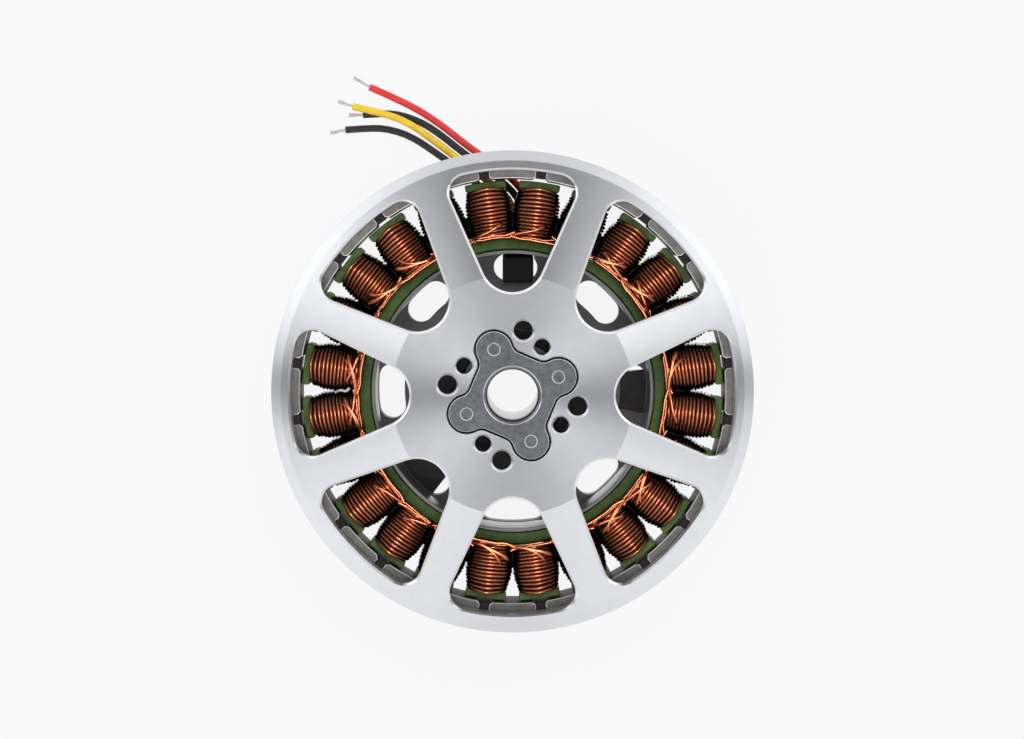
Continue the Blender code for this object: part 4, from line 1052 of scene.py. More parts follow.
@dataclass
class FluxRing:
    """The steel ring under the bell with the magnets inside it."""

    bottom: float
    top: float
    radius: float
    magnet_bottom: float
    magnet_top: float
    magnet_count: int = 24
    magnet_inner: float = 49.6 * MM
    magnet_outer: float = 52.2 * MM
    magnet_share: float = 0.833
    magnet_corner: float = 0.7 * MM
    magnet_edge: float = 0.26 * MM
    edge_rise: Flat = (0.3, 0.98)
    resin_inset: float = 0.45 * MM
    resin_gap: float = 0.03 * MM
    ring_inner: float = 52.4 * MM
    register_radius: float = 53.9 * MM
    register_depth: float = 1.2 * MM
    chamfer: float = 0.6 * MM
    ease: float = 0.1 * MM
    steps: int = 192

    def build(self) -> None:
        """Turn the ring, then fill it with its magnets and their resin."""
        ring = lathe("flux_ring_turned", (
            (self.ring_inner, self.top - self.register_depth),
            (self.register_radius, self.top - self.register_depth),
            (self.register_radius, self.top),
            (self.radius, self.top),
            (self.radius, self.bottom + self.chamfer),
            (self.radius - self.chamfer, self.bottom),
            (self.ring_inner, self.bottom),
        ), self.steps, self.ease)
        smoothed(ring)
        RING_SIDE.dress(ring)
        # The ring's inward faces get painted shade.
        RING_INSIDE_SHADE.dress_faces(ring, lambda centre, normal: centre.to_2d().dot(normal.to_2d()) < 0.0)
        seat(ring, Body.ROTOR, Slot.RING, "flux_ring")
        self.build_magnets()
        self.build_resin()

    def build_magnets(self) -> None:
        """Make one magnet and copy it round."""
        half = math.pi / self.magnet_count * self.magnet_share
        cut = self.magnet_corner / self.magnet_inner
        outline = arc(AXIS, self.magnet_outer, -half, half, 10)
        outline.append(polar(self.magnet_inner + self.magnet_corner, half))
        outline += arc(AXIS, self.magnet_inner, half - cut, cut - half, 10)
        outline.append(polar(self.magnet_inner + self.magnet_corner, -half))
        magnet = plate("magnet_blank", outline, self.magnet_bottom, self.magnet_top)
        bevelled(magnet, self.magnet_edge, segments=2, angle=30.0)
        smoothed(magnet, angle=25.0)
        MAGNET_FACE.dress(magnet)
        # The magnets' walls get painted shade.
        MAGNET_WALL_SHADE.dress_faces(magnet, is_wall)
        # The magnets' bevels get a painted highlight.
        MAGNET_EDGE_HIGHLIGHT.dress_faces(magnet, lambda centre, normal: is_slanted(normal, self.edge_rise)
                                or is_slanted(-normal, self.edge_rise))
        for index in range(self.magnet_count):
            copy = copied(magnet, f"magnet_{index + 1:02d}_ground", FULL_TURN * index / self.magnet_count)
            seat(copy, Body.ROTOR, Slot.MAGNET, f"magnet_{index + 1:02d}")
        bpy.data.objects.remove(magnet, do_unlink=True)

    def build_resin(self) -> None:
        """Resin blocks in the gaps between the magnets, near-black as painted shade for the recessed gaps.
        """
        pitch = FULL_TURN / self.magnet_count
        edge = pitch / 2.0 * self.magnet_share + self.resin_gap / self.magnet_inner
        low, high = self.magnet_bottom + self.resin_inset, self.magnet_top - self.resin_inset
        blocks = []
        for index in range(self.magnet_count):
            start, end = pitch * index + edge, pitch * (index + 1) - edge
            outline = arc(AXIS, self.ring_inner - self.resin_gap, start, end, 3)
            outline += arc(AXIS, self.magnet_inner + self.resin_inset, end, start, 3)
            blocks.append(plate("resin", outline, low, high))
        resin = joined("magnet_resin", blocks)
        smoothed(resin)
        SHADED_RESIN.dress(resin)
        seat(resin, Body.ROTOR, Slot.RING)


@dataclass
class Shaft:
    """The hollow shaft, ground inside and out."""

    bottom: float
    top: float
    radius: float
    bore: float = 5.9 * MM
    chamfer: float = 0.35 * MM
    # The bore narrows slightly at its mouth, as deep as its painted shade goes.
    mouth_bore: float = 5.82 * MM
    painted_shade_depth: float = 5.0 * MM
    mouth_lead: float = 0.1 * MM
    dark_band: float = 0.12 * MM
    ease: float = 0.05 * MM
    groove: float = 0.5 * MM
    groove_bottom: float = 3.1 * MM
    groove_top: float = 4.1 * MM
    steps: int = 128

    def build(self) -> None:
        """Turn the shaft with its clip groove, its dark top end and painted shade inside the bore's mouth.
        """
        painted_shade_end = self.top - self.painted_shade_depth
        shaft = lathe("hollow_shaft_ground", (
            (self.bore, painted_shade_end),
            (self.mouth_bore, painted_shade_end + self.mouth_lead),
            (self.mouth_bore, self.top),
            (self.radius, self.top),
            (self.radius, self.groove_top),
            (self.radius - self.groove, self.groove_top),
            (self.radius - self.groove, self.groove_bottom),
            (self.radius, self.groove_bottom),
            (self.radius, self.bottom + self.chamfer),
            (self.radius - self.chamfer, self.bottom),
            (self.bore + self.chamfer, self.bottom),
            (self.bore, self.bottom + self.chamfer),
        ), self.steps, self.ease)
        smoothed(shaft)
        SHAFT_WALL.dress(shaft)
        # The top end is dark, and the top of the bore gets painted shade.
        SHAFT_END_AND_SHADE.dress_faces(shaft, lambda centre, normal: centre.z > self.top - self.dark_band
                               or centre.z > painted_shade_end and centre.to_2d().length < self.bore)
        seat(shaft, Body.ROTOR, Slot.SHAFT, "hollow_shaft")


@dataclass
class Bearing:
    """A ball bearing with real balls and a cage."""

    name: str
    bottom: float
    top: float
    balls_body: Body
    bore: float = 7.6 * MM
    outside: float = 12.0 * MM
    ball_circle: float = 9.8 * MM
    race_gap: float = 0.9 * MM
    groove: float = 0.3 * MM
    ball_radius: float = 1.06 * MM
    ball_count: int = 8
    cage_wall: float = 0.3 * MM
    cage_height: float = 1.5 * MM
    ring_ease: float = 0.2 * MM
    cage_ease: float = 0.1 * MM
    steps: int = 96

    def build(self) -> None:
        """Make the two rings, the balls and the cage."""
        middle = (self.bottom + self.top) / 2.0
        inner_edge = self.ball_circle - self.race_gap
        outer_edge = self.ball_circle + self.race_gap
        outer = lathe(f"{self.name}_outer_race", (
            (self.outside, self.top),
            (self.outside, self.bottom),
            (outer_edge, self.bottom),
            (outer_edge, middle - self.ball_radius),
            (outer_edge + self.groove, middle),
            (outer_edge, middle + self.ball_radius),
            (outer_edge, self.top),
        ), self.steps, self.ring_ease)
        inner = lathe(f"{self.name}_inner_race", (
            (self.bore, self.bottom),
            (self.bore, self.top),
            (inner_edge, self.top),
            (inner_edge, middle + self.ball_radius),
            (inner_edge - self.groove, middle),
            (inner_edge, middle - self.ball_radius),
            (inner_edge, self.bottom),
        ), self.steps, self.ring_ease)
        for ring, body, node in ((outer, Body.STATOR, "outer_ring"), (inner, Body.ROTOR, "inner_ring")):
            smoothed(ring)
            BEARING_RING.dress(ring)
            seat(ring, body, Slot.BEARING, f"{self.name}_{node}")

        self.build_balls(middle)

    def build_balls(self, middle: float) -> None:
        """Make the balls and the cage that spaces them, at this height."""
        pieces = [lathe(f"{self.name}_cage", (
            (self.ball_circle - self.cage_wall, middle - self.cage_height),
            (self.ball_circle + self.cage_wall, middle - self.cage_height),
            (self.ball_circle + self.cage_wall, middle + self.cage_height),
            (self.ball_circle - self.cage_wall, middle + self.cage_height),
        ), self.steps, self.cage_ease)]
        for index in range(self.ball_count):
            place = polar(self.ball_circle, FULL_TURN * index / self.ball_count)
            bpy.ops.object.select_all(action="DESELECT")
            bpy.ops.mesh.primitive_uv_sphere_add(segments=20, ring_count=12, radius=self.ball_radius,
                                                 location=(place.x, place.y, middle))
            bpy.ops.object.transform_apply(location=True, rotation=True, scale=True)
            pieces.append(bpy.context.object)
        balls = joined(f"{self.name}_balls_in_cage", pieces)
        smoothed(balls, angle=40.0)
        BALLS.dress(balls)
        seat(balls, self.balls_body, Slot.BEARING, f"{self.name}_balls")


@dataclass
class Base:
    """The slotted base with its bearing tube, cup wall and ledge."""

    upper_bearing_top: float
    cup_top: float
    cup_rise: float = 0.6 * MM
    thickness: float = 5.0 * MM
    ledge: float = 8.3 * MM
    radius: float = 35.4 * MM
    chamfer: float = 0.8 * MM
    cup_outer: float = 32.9 * MM
    cup_inner: float = 32.1 * MM
    seat_radius: float = 12.2 * MM
    tube_radius: float = 14.7 * MM
    shoulder: float = 10.9 * MM
    bearing_width: float = 5.0 * MM
    lower_bearing_top: float = 9.2 * MM
    gap: float = 0.2 * MM
    painted_shade_floor: float = 19.5 * MM
    slot_inner: float = 25.7 * MM
    slot_outer: float = 31.95 * MM
    slot_edge: float = 0.12 * MM
    slot_ends: tuple[Flat, ...] = (
        (-11.0, 11.0), (33.3, 57.3), (78.2, 98.9), (123.0, 145.4),
        (168.5, 194.4), (214.0, 237.4), (254.5, 285.5), (302.8, 326.5),
    )
    pad_slots: tuple[int, int] = (0, 5)
    pad_arc: float = 19.0
    pad_inset: float = 0.2 * MM
    pad_levels: Flat = (0.02 * MM, 0.35 * MM)
    pad_edge: float = 0.12 * MM
    hole_radius: float = 1.65 * MM
    hole_circle: float = 20.0 * MM
    hole_count: int = 4
    hole_steps: int = 32
    ease: float = 0.15 * MM
    steps: int = 160

    @property
    def slot_middle(self) -> float:
        """Radius of the slots' middle line."""
        return (self.slot_inner + self.slot_outer) / 2.0

    @property
    def slot_half(self) -> float:
        """Half the slots' width, which is the radius of their ends."""
        return (self.slot_outer - self.slot_inner) / 2.0

    def slot_outline(self, start: float, end: float, growth: float = 0.0) -> list[Vector]:
        """Outline of a curved slot with full-round ends. Angles in degrees."""
        inset = math.asin(self.slot_half / self.slot_middle)
        first = math.radians(start) + inset
        last = math.radians(end) - inset
        end_radius = self.slot_half + growth
        outline = arc(AXIS, self.slot_outer + growth, first, last, 8)
        outline += arc(polar(self.slot_middle, last), end_radius, last, last + math.pi, 18)[1:-1]
        outline += arc(AXIS, self.slot_inner - growth, last, first, 8)
        turned = first + math.pi
        outline += arc(polar(self.slot_middle, first), end_radius, turned, first + FULL_TURN, 18)[1:-1]
        return outline

    def slit_outline(self, start: float, end: float) -> list[Vector]:
        """Outline of what a pad leaves open of a slot."""
        middle, end_radius = self.slot_middle, self.slot_half
        last = math.radians(end) - math.asin(end_radius / middle)
        edge_offset = middle * math.sin(math.radians(start + self.pad_arc) - last)
        half_open = math.acos(edge_offset / end_radius)
        tangent = last + math.pi / 2.0
        return arc(polar(middle, last), end_radius, tangent - half_open, tangent + half_open, 18)

    def turned_blank(self) -> bpy.types.Object:
        """The base as it leaves the lathe, before its openings are cut."""
        tube_top = self.upper_bearing_top
        seat_floor = tube_top - self.bearing_width - self.gap
        return lathe("base_mount_turned", (
            (self.seat_radius, 0.0),
            (self.radius - self.chamfer, 0.0),
            (self.radius, self.chamfer),
            (self.radius, self.ledge),
            (self.cup_outer, self.ledge),
            (self.cup_outer, self.cup_top),
            (self.cup_inner, self.cup_top),
            (self.cup_inner, self.thickness),
            # The floor is split at this radius, and inside it the floor gets painted shade.
            (self.painted_shade_floor, self.thickness),
            (self.tube_radius, self.thickness),
            (self.tube_radius, tube_top),
            (self.seat_radius, tube_top),
            (self.seat_radius, seat_floor),
            (self.shoulder, seat_floor),
            (self.shoulder, self.lower_bearing_top + self.gap),
            (self.seat_radius, self.lower_bearing_top + self.gap),
        ), self.steps, self.ease)

    def build(self, sleeve: "Sleeve") -> None:
        """Turn the base, then cut the slots, the screw holes and the sleeve's way out."""
        base = self.turned_blank()
        below, above = -self.chamfer, self.thickness + self.chamfer
        for index, (start, end) in enumerate(self.slot_ends):
            if index in self.pad_slots:
                tool = plate("slot_tool", self.slit_outline(start, end), below, above)
            else:
                outline = self.slot_outline(start, end)
                mouth = self.slot_outline(start, end, 2.0 * self.slot_edge)
                tool = stepped("slot_tool", (
                    (outline, below),
                    (outline, self.thickness - self.slot_edge),
                    (mouth, self.thickness + self.slot_edge),
                ))
            cut_with(base, tool)
        levels = ((self.hole_radius, below), (self.hole_radius, above))
        holes = []
        for index in range(self.hole_count):
            centre = polar(self.hole_circle, FULL_TURN * (index + 0.5) / self.hole_count)
            holes.append(round_bar("hole_tool", centre, levels, self.hole_steps))
        cut_with(base, joined("hole_tools", holes))
        for tool in sleeve.way_out(self):
            cut_with(base, tool)
        smoothed(base)
        BASE_FACE.dress(base)
        # The bearing tube's top and the floor round it get painted shade.
        HOLLOW_SHADE.dress_faces(base, lambda centre, normal: centre.z > self.thickness - self.gap
                              and centre.to_2d().length < self.painted_shade_floor)
        CUP_WALL.dress_faces(base, lambda centre, normal: abs(normal.z) < 0.5
                             and abs(centre.to_2d().length - self.cup_inner) < 0.1 * MM)
        seat(base, Body.STATOR, Slot.BASE, "base_mount")
        self.build_pads()

    def build_pads(self) -> None:
        """The two dark pads that lie over slots of the base."""
        low, high = (self.thickness + level for level in self.pad_levels)
        for number, index in enumerate(self.pad_slots, 1):
            start = math.radians(self.slot_ends[index][0])
            end = start + math.radians(self.pad_arc)
            outline = arc(AXIS, self.slot_outer - self.pad_inset, start, end, 10)
            outline += arc(AXIS, self.slot_inner, end, start, 10)
            pad = plate(f"base_pad_{number}", outline, low, high)
            bevelled(pad, self.pad_edge, segments=2)
            smoothed(pad)
            PAD_FACE.dress(pad)
            seat(pad, Body.STATOR, Slot.BASE)


@dataclass
class Sleeve:
    """The moulded sleeve that brings the leads out through the base's floor."""

    inner_end: float
    exit_end: float
    top: float
    centre_x: float = 1.3 * MM
    width: float = 7.3 * MM
    neck_start: float = 27.8 * MM
    cup_end: float = 31.27 * MM
    seat_height: float = 5.2 * MM
    tongue_top: float = 4.6 * MM
    gap: float = 0.2 * MM
    edge: float = 0.55 * MM

    def way_out(self, base: Base) -> list[bpy.types.Object]:
        """The solids that cut the base's floor and ledge for the sleeve."""
        low = self.centre_x - self.width / 2.0 - self.gap
        high = self.centre_x + self.width / 2.0 + self.gap
        start = self.neck_start - self.gap
        tools = []
        for near, far, top in (
            (start, base.cup_inner, base.thickness + base.chamfer),
            (start + self.gap, base.radius + base.chamfer, self.tongue_top + self.gap),
        ):
            outline = [Vector(corner) for corner in ((low, near), (high, near), (high, far), (low, far))]
            tools.append(plate("way_out_tool", outline, -base.chamfer, top))
        return tools

    def build(self) -> None:
        """Extrude the sleeve's side outline across its width and round its edges."""
        profile = (
            (self.inner_end, self.seat_height),
            (self.neck_start, self.seat_height),
            (self.neck_start, self.gap),
            (self.exit_end, self.gap),
            (self.exit_end, self.tongue_top),
            (self.cup_end, self.tongue_top),
            (self.cup_end, self.top),
            (self.inner_end, self.top),
        )
        low = self.centre_x - self.width / 2.0
        high = self.centre_x + self.width / 2.0
        rings = [[Vector((side, y, z)) for y, z in profile] for side in (low, high)]
        sleeve = drawn_out("lead_sleeve_moulded", rings)
        bevelled(sleeve, self.edge, segments=4, angle=60.0)
        smoothed(sleeve)
        SLEEVE_SKIN.dress(sleeve)
        seat(sleeve, Body.STATOR, Slot.SLEEVE, "lead_sleeve")


@dataclass(frozen=True)
class Wander:
    """How far the wires stray, each as the least and the most in millimetres."""

    slip: Flat = (-0.03, 0.03)
    swell: Flat = (-0.08, 0.02)
    slant: Flat = (-0.08, 0.08)
    spread: Flat = (-0.22, 0.0)
    drift: Flat = (-0.3, 0.5)
    reach: Flat = (0.4, 2.4)
    landing: Flat = (2.2, 4.2)
    crossing_radius: Flat = (-0.1, 0.1)
    crossing_height: Flat = (-0.06, 0.06)


@dataclass(frozen=True)
class SlantPoint:
    """A point of the wires that slant over a coil's root.

    The first three are lengths. The others are the shares of a wire's own drift, reach and landing that
    the point takes on.
    """

    radius: float
    across: float
    rise: float
    drift: float = 0.0
    reach: float = 0.0
    landing: float = 0.0


@dataclass
class Stator:
    """The laminated core with its green coat, and the three phase windings."""

    bottom: float
    top: float
    coil_bottom: float
    radius: float = 49.15 * MM
    bore: float = 33.1 * MM
    back_iron: float = 35.7 * MM
    tooth_count: int = 24
    tooth_width: float = 4.4 * MM
    tip_thickness: float = 1.7 * MM
    tip_shoulder: float = 0.3 * MM
    slot_opening: float = 3.1 * MM
    slot_fillet: float = 0.6 * MM
    root_angle_gap: float = 0.012
    coat_edge: float = 0.4 * MM
    bare_depth: float = 0.2 * MM
    bore_steps: int = 144
    phases: tuple[str, ...] = ("a", "b", "c")
    wire_radius: float = 0.385 * MM
    turn_count: int = 13
    coil_root: float = 36.1 * MM
    coil_tip: float = 47.3 * MM
    tip_lean: float = 1.1 * MM
    side_clearance: float = 0.05 * MM
    widest: float = 5.5 * MM
    widest_at: float = 43.2 * MM
    narrowing: float = 0.19
    coil_overhang: float = 2.3 * MM
    corner: float = 2.7 * MM
    corner_steps: int = 4
    crown: float = 0.45 * MM
    variants: int = 6
    slant_seed: int = 40
    crossing_seed: int = 100
    crossing_steps: int = 9
    lane_first: float = 35.5 * MM
    lane_step: float = 0.45 * MM
    web_end: float = 41.4 * MM
    web_drop: float = 1.4 * MM
    layer_height: float = 2.4
    lane_lift: float = 0.75
    lane_flare: float = 0.75 * MM
    lane_point_step: float = 0.9 * MM
    slant_point_step: float = 0.6 * MM
    side_change: float = 0.3
    leave: float = 4.2 * MM
    wander: Wander = Wander()
    slant_points: tuple[SlantPoint, ...] = (
        SlantPoint(36.1 * MM, -4.9 * MM, -0.5 * MM),
        SlantPoint(36.5 * MM, -2.9 * MM, 0.0, drift=1.0),
        SlantPoint(37.1 * MM, -0.2 * MM, 0.15 * MM, drift=1.0, reach=0.3),
        SlantPoint(37.6 * MM, 0.0, 0.05 * MM, drift=1.0, reach=0.7, landing=0.6),
        SlantPoint(38.1 * MM, 0.0, -0.8 * MM, reach=1.0, landing=1.0),
        SlantPoint(38.3 * MM, 0.3 * MM, -2.2 * MM, reach=1.0, landing=1.0),
    )
    joint_route: tuple[Point, ...] = (
        (-0.0379, 0.0009, 0.0218), (-0.0388, 0.0001, 0.0214),
        (-0.0400, 0.0003, 0.0210), (-0.0414, -0.0002, 0.0202),
    )
    joint_radius: float = 0.42 * MM

    @property
    def pitch(self) -> float:
        """Angle from tooth to tooth."""
        return FULL_TURN / self.tooth_count

    @property
    def coil_top(self) -> float:
        """Height of the coils' front."""
        return self.top + self.coil_overhang

    def core_outline(self) -> list[Vector]:
        """The outline of the back iron with its 24 T-shaped teeth."""
        half_tooth = self.tooth_width / 2.0
        tip_inner = self.radius - self.tip_thickness
        tip_half = (self.pitch - self.slot_opening / self.radius) / 2.0
        root = Vector((math.sqrt(self.back_iron**2 - half_tooth**2), half_tooth))
        root_angle = math.atan2(root.y, root.x)
        slot = arc(AXIS, self.back_iron, root_angle + self.root_angle_gap, self.pitch / 2.0, 3)
        half = arc(AXIS, self.radius, 0.0, tip_half, 6)
        half += [polar(tip_inner, tip_half), Vector((tip_inner - self.tip_shoulder, half_tooth)),
                 root + Vector((self.slot_fillet, 0.0))]
        half += slot[:-1]
        mirrored = [Vector((point.x, -point.y)) for point in reversed(half[1:])]
        outline = []
        for index in range(self.tooth_count):
            outline += turned_about(mirrored + half + [slot[-1]], self.pitch * (index + 0.5))
        return outline

    def build_core(self) -> None:
        """Extrude the core, bore it, round the coat's edges and bare the faces at the air gap."""
        core = plate("stator_core_coated", self.core_outline(), self.bottom, self.top)
        bore = ((self.bore, self.bottom - MM), (self.bore, self.top + MM))
        cut_with(core, round_bar("bore_tool", AXIS, bore, self.bore_steps))
        bevelled(core, self.coat_edge, segments=3, angle=60.0)
        smoothed(core)
        CORE_COAT.dress(core)
        CORE_EDGE.dress_faces(core, lambda centre, normal: abs(normal.z) < 0.1
                              and centre.to_2d().length > self.radius - self.bare_depth)
        seat(core, Body.STATOR, Slot.CORE, "stator_core")

    def coil_route(self, seed: int) -> list[Vector]:
        """The wire of one coil round the tooth on +X.

        Args:
            seed: Sets how the turns wander.

        Returns:
            Points from the root to the tip.
        """
        draw = random.Random(seed)
        middle = (self.coil_top + self.coil_bottom) / 2.0
        half_height = (self.coil_top - self.coil_bottom) / 2.0 - self.wire_radius
        in_slot = (self.top - self.bottom) / 2.0
        advance = (self.coil_tip - self.coil_root - 2.0 * self.wire_radius) / self.turn_count
        points = []
        for turn in range(self.turn_count):
            slip = draw.uniform(*self.wander.slip) * MM
            swell = draw.uniform(*self.wander.swell) * MM
            slant = draw.uniform(*self.wander.slant) * MM
            share = turn / (self.turn_count - 1.0)
            spread = draw.uniform(*self.wander.spread) * MM * share
            root = self.coil_root + self.wire_radius + advance * turn
            loop = self.loop_points(root, half_height + swell, spread)
            for index, (across, up) in enumerate(loop):
                along = root + advance * index / len(loop) + slip
                along += slant * across / self.widest * (1.0 if up > 0.0 else -1.0)
                outside = max(0.0, abs(up) - in_slot) / (half_height - in_slot)
                along += self.tip_lean * share**3 * outside
                points.append(Vector((along, across, middle + up)))
        return points

    def loop_points(self, radius: float, half_height: float, spread: float) -> list[Flat]:
        """One turn of a coil as (across, up) points, crowned on its two wide sides.

        Args:
            radius: The turn's distance from the axis.
            half_height: Half the turn's height at its middle.
            spread: How much wider than its neighbours the turn lies.

        Returns:
            The points from the middle of one side, over the front and back round.
        """
        room = radius * math.tan(self.pitch / 2.0) - self.side_clearance
        free = self.widest - self.narrowing * max(0.0, radius - self.widest_at)
        half_width = min(room, free) + spread - self.wire_radius
        shoulder = half_height - self.crown
        flat_half = half_width - self.corner
        points = [(half_width, -0.5 * shoulder), (half_width, 0.0), (half_width, 0.5 * shoulder)]
        for side, up_sign in ((1.0, 1.0), (-1.0, 1.0), (-1.0, -1.0), (1.0, -1.0)):
            corner_points = []
            for step in range(self.corner_steps + 1):
                angle = math.pi / 2.0 * step / self.corner_steps
                reach = self.corner * math.cos(angle)
                rise = self.corner * math.sin(angle)
                corner_points.append((side * (flat_half + reach), up_sign * (shoulder - self.corner + rise)))
            points += corner_points if side * up_sign > 0.0 else corner_points[::-1]
            if up_sign > 0.0 and side > 0.0 or up_sign < 0.0 and side < 0.0:
                for share_across in (0.6, 0.2, -0.2, -0.6):
                    bulge = self.crown * (1.0 - share_across**2)
                    points.append((side * flat_half * share_across, up_sign * (shoulder + bulge)))
            elif up_sign > 0.0:
                points += [(-half_width, 0.5 * shoulder), (-half_width, 0.0), (-half_width, -0.5 * shoulder)]
        return points

    def build_filling(self) -> bpy.types.Object:
        """The coil's inner layers as one near-black block, painted shade between the turns and between the
        coils, which meets the next coil's near the root.
        """
        middle = (self.coil_top + self.coil_bottom) / 2.0
        inset = 1.1 * self.wire_radius
        half_height = (self.coil_top - self.coil_bottom) / 2.0 - self.wire_radius - inset
        meeting = self.wire_radius + self.side_clearance + 0.03 * MM
        rings = []
        for radius, spread, drop in (
            (self.back_iron - 0.05 * MM, meeting, self.web_drop),
            (self.web_end - 1.5 * MM, meeting, self.web_drop),
            (self.web_end, meeting, 1.5 * self.web_drop),
            (self.web_end + 0.5 * MM, -inset, 0.1 * self.web_drop),
            (self.coil_tip - 2.0 * MM, -1.3 * inset, 0.0),
            (self.coil_tip - inset, -1.6 * inset, 0.0),
        ):
            loop = self.loop_points(radius, half_height - drop, spread)
            rings.append([Vector((radius, across, middle + up)) for across, up in loop])
        return drawn_out("coil_filling", rings)

    def build_coil(self, variant: int) -> bpy.types.Object:
        """One coil on the tooth along +X, with the wires that slant over its root."""
        draw = random.Random(self.slant_seed + variant)
        side = 1.0 if draw.random() < 0.5 else -1.0
        over = self.coil_top + 0.5 * self.wire_radius
        wires = [wire(f"coil_{variant}", self.coil_route(variant), self.wire_radius)]
        for _ in range(draw.randint(1, 3)):
            drift = draw.uniform(*self.wander.drift) * MM
            reach = draw.uniform(*self.wander.reach) * MM
            landing = draw.uniform(*self.wander.landing) * MM
            route = []
            for point in self.slant_points:
                along = point.radius + point.drift * drift + point.reach * reach
                across = side * (point.across + point.landing * landing)
                route.append(Vector((along, across, over + point.rise)))
            wires.append(wire("slant", smooth_route(route, self.slant_point_step), self.wire_radius))
            side = -side if draw.random() < self.side_change else side
        coil = joined(f"coil_{variant}", wires)
        COPPER.dress(coil)
        filling = self.build_filling()
        # The filling's near-black colour is painted shade.
        FILLING_SHADE.dress(filling)
        return joined(f"coil_{variant}", [coil, filling])

    def crossover(self, start: float, end: float, lane: int, seed: int) -> bpy.types.Object:
        """A wire along the coils' root from one coil to the next of its phase.

        Args:
            start: Angle where it leaves its coil.
            end: Angle where it goes into the next coil.
            lane: Which of the four places beside each other it lies in.
            seed: Sets how it wanders.

        Returns:
            The wire.
        """
        draw = random.Random(seed)
        radius = self.lane_first + self.lane_step * (lane % 3)
        layers = 1.0 + self.lane_lift * (lane % 2) + (lane // 2)
        height = self.top + self.layer_height * self.wire_radius * layers
        route = []
        for step in range(self.crossing_steps + 1):
            angle = start + (end - start) * step / self.crossing_steps
            outward = self.lane_flare if step in (0, self.crossing_steps) else 0.0
            aside = draw.uniform(*self.wander.crossing_radius) * MM
            rise = draw.uniform(*self.wander.crossing_height) * MM
            route.append(Vector((*polar(radius + aside + outward, angle), height + rise)))
        crossing = wire("crossover", smooth_route(route, self.lane_point_step), self.wire_radius)
        COPPER.dress(crossing)
        return crossing

    def build_windings(self) -> list[bpy.types.Object]:
        """Copy the coils round the core, phase by phase, and join each phase with its crossover wires."""
        patterns = [self.build_coil(variant) for variant in range(self.variants)]
        windings = []
        phase_count = len(self.phases)
        leave = self.leave / self.back_iron
        for phase, letter in enumerate(self.phases):
            pieces = []
            lanes = (0, 3) if phase == 0 else (phase,)
            for number in range(self.tooth_count // phase_count):
                tooth = phase + phase_count * number
                angle = self.pitch * (tooth + 0.5)
                pattern = patterns[(tooth * 5 + number) % self.variants]
                pieces.append(copied(pattern, f"coil_{letter}_{number}", angle))
                far = angle + self.pitch * phase_count
                for lane in lanes:
                    seed = self.crossing_seed + 4 * tooth + lane
                    pieces.append(self.crossover(angle + leave, far - leave, lane, seed))
            winding = joined(f"winding_{letter}_wound", pieces)
            rounded(winding)
            windings.append(seat(winding, Body.STATOR, Slot.COPPER, f"winding_{letter}"))
        for pattern in patterns:
            bpy.data.objects.remove(pattern, do_unlink=True)
        return windings

    def build_joint(self) -> None:
        """The short tinned wire that joins two coils at the left."""
        route = smooth_route([Vector(point) for point in self.joint_route], 0.3 * MM)
        joint = wire("winding_joint", route, self.joint_radius)
        rounded(joint)
        STRAND_METAL.dress(joint)
        seat(joint, Body.STATOR, Slot.STRANDS)


@dataclass
class Lead:
    """One insulated lead from the sleeve to its bare end."""

    name: str
    route: tuple[Point, ...]
    tip: Point


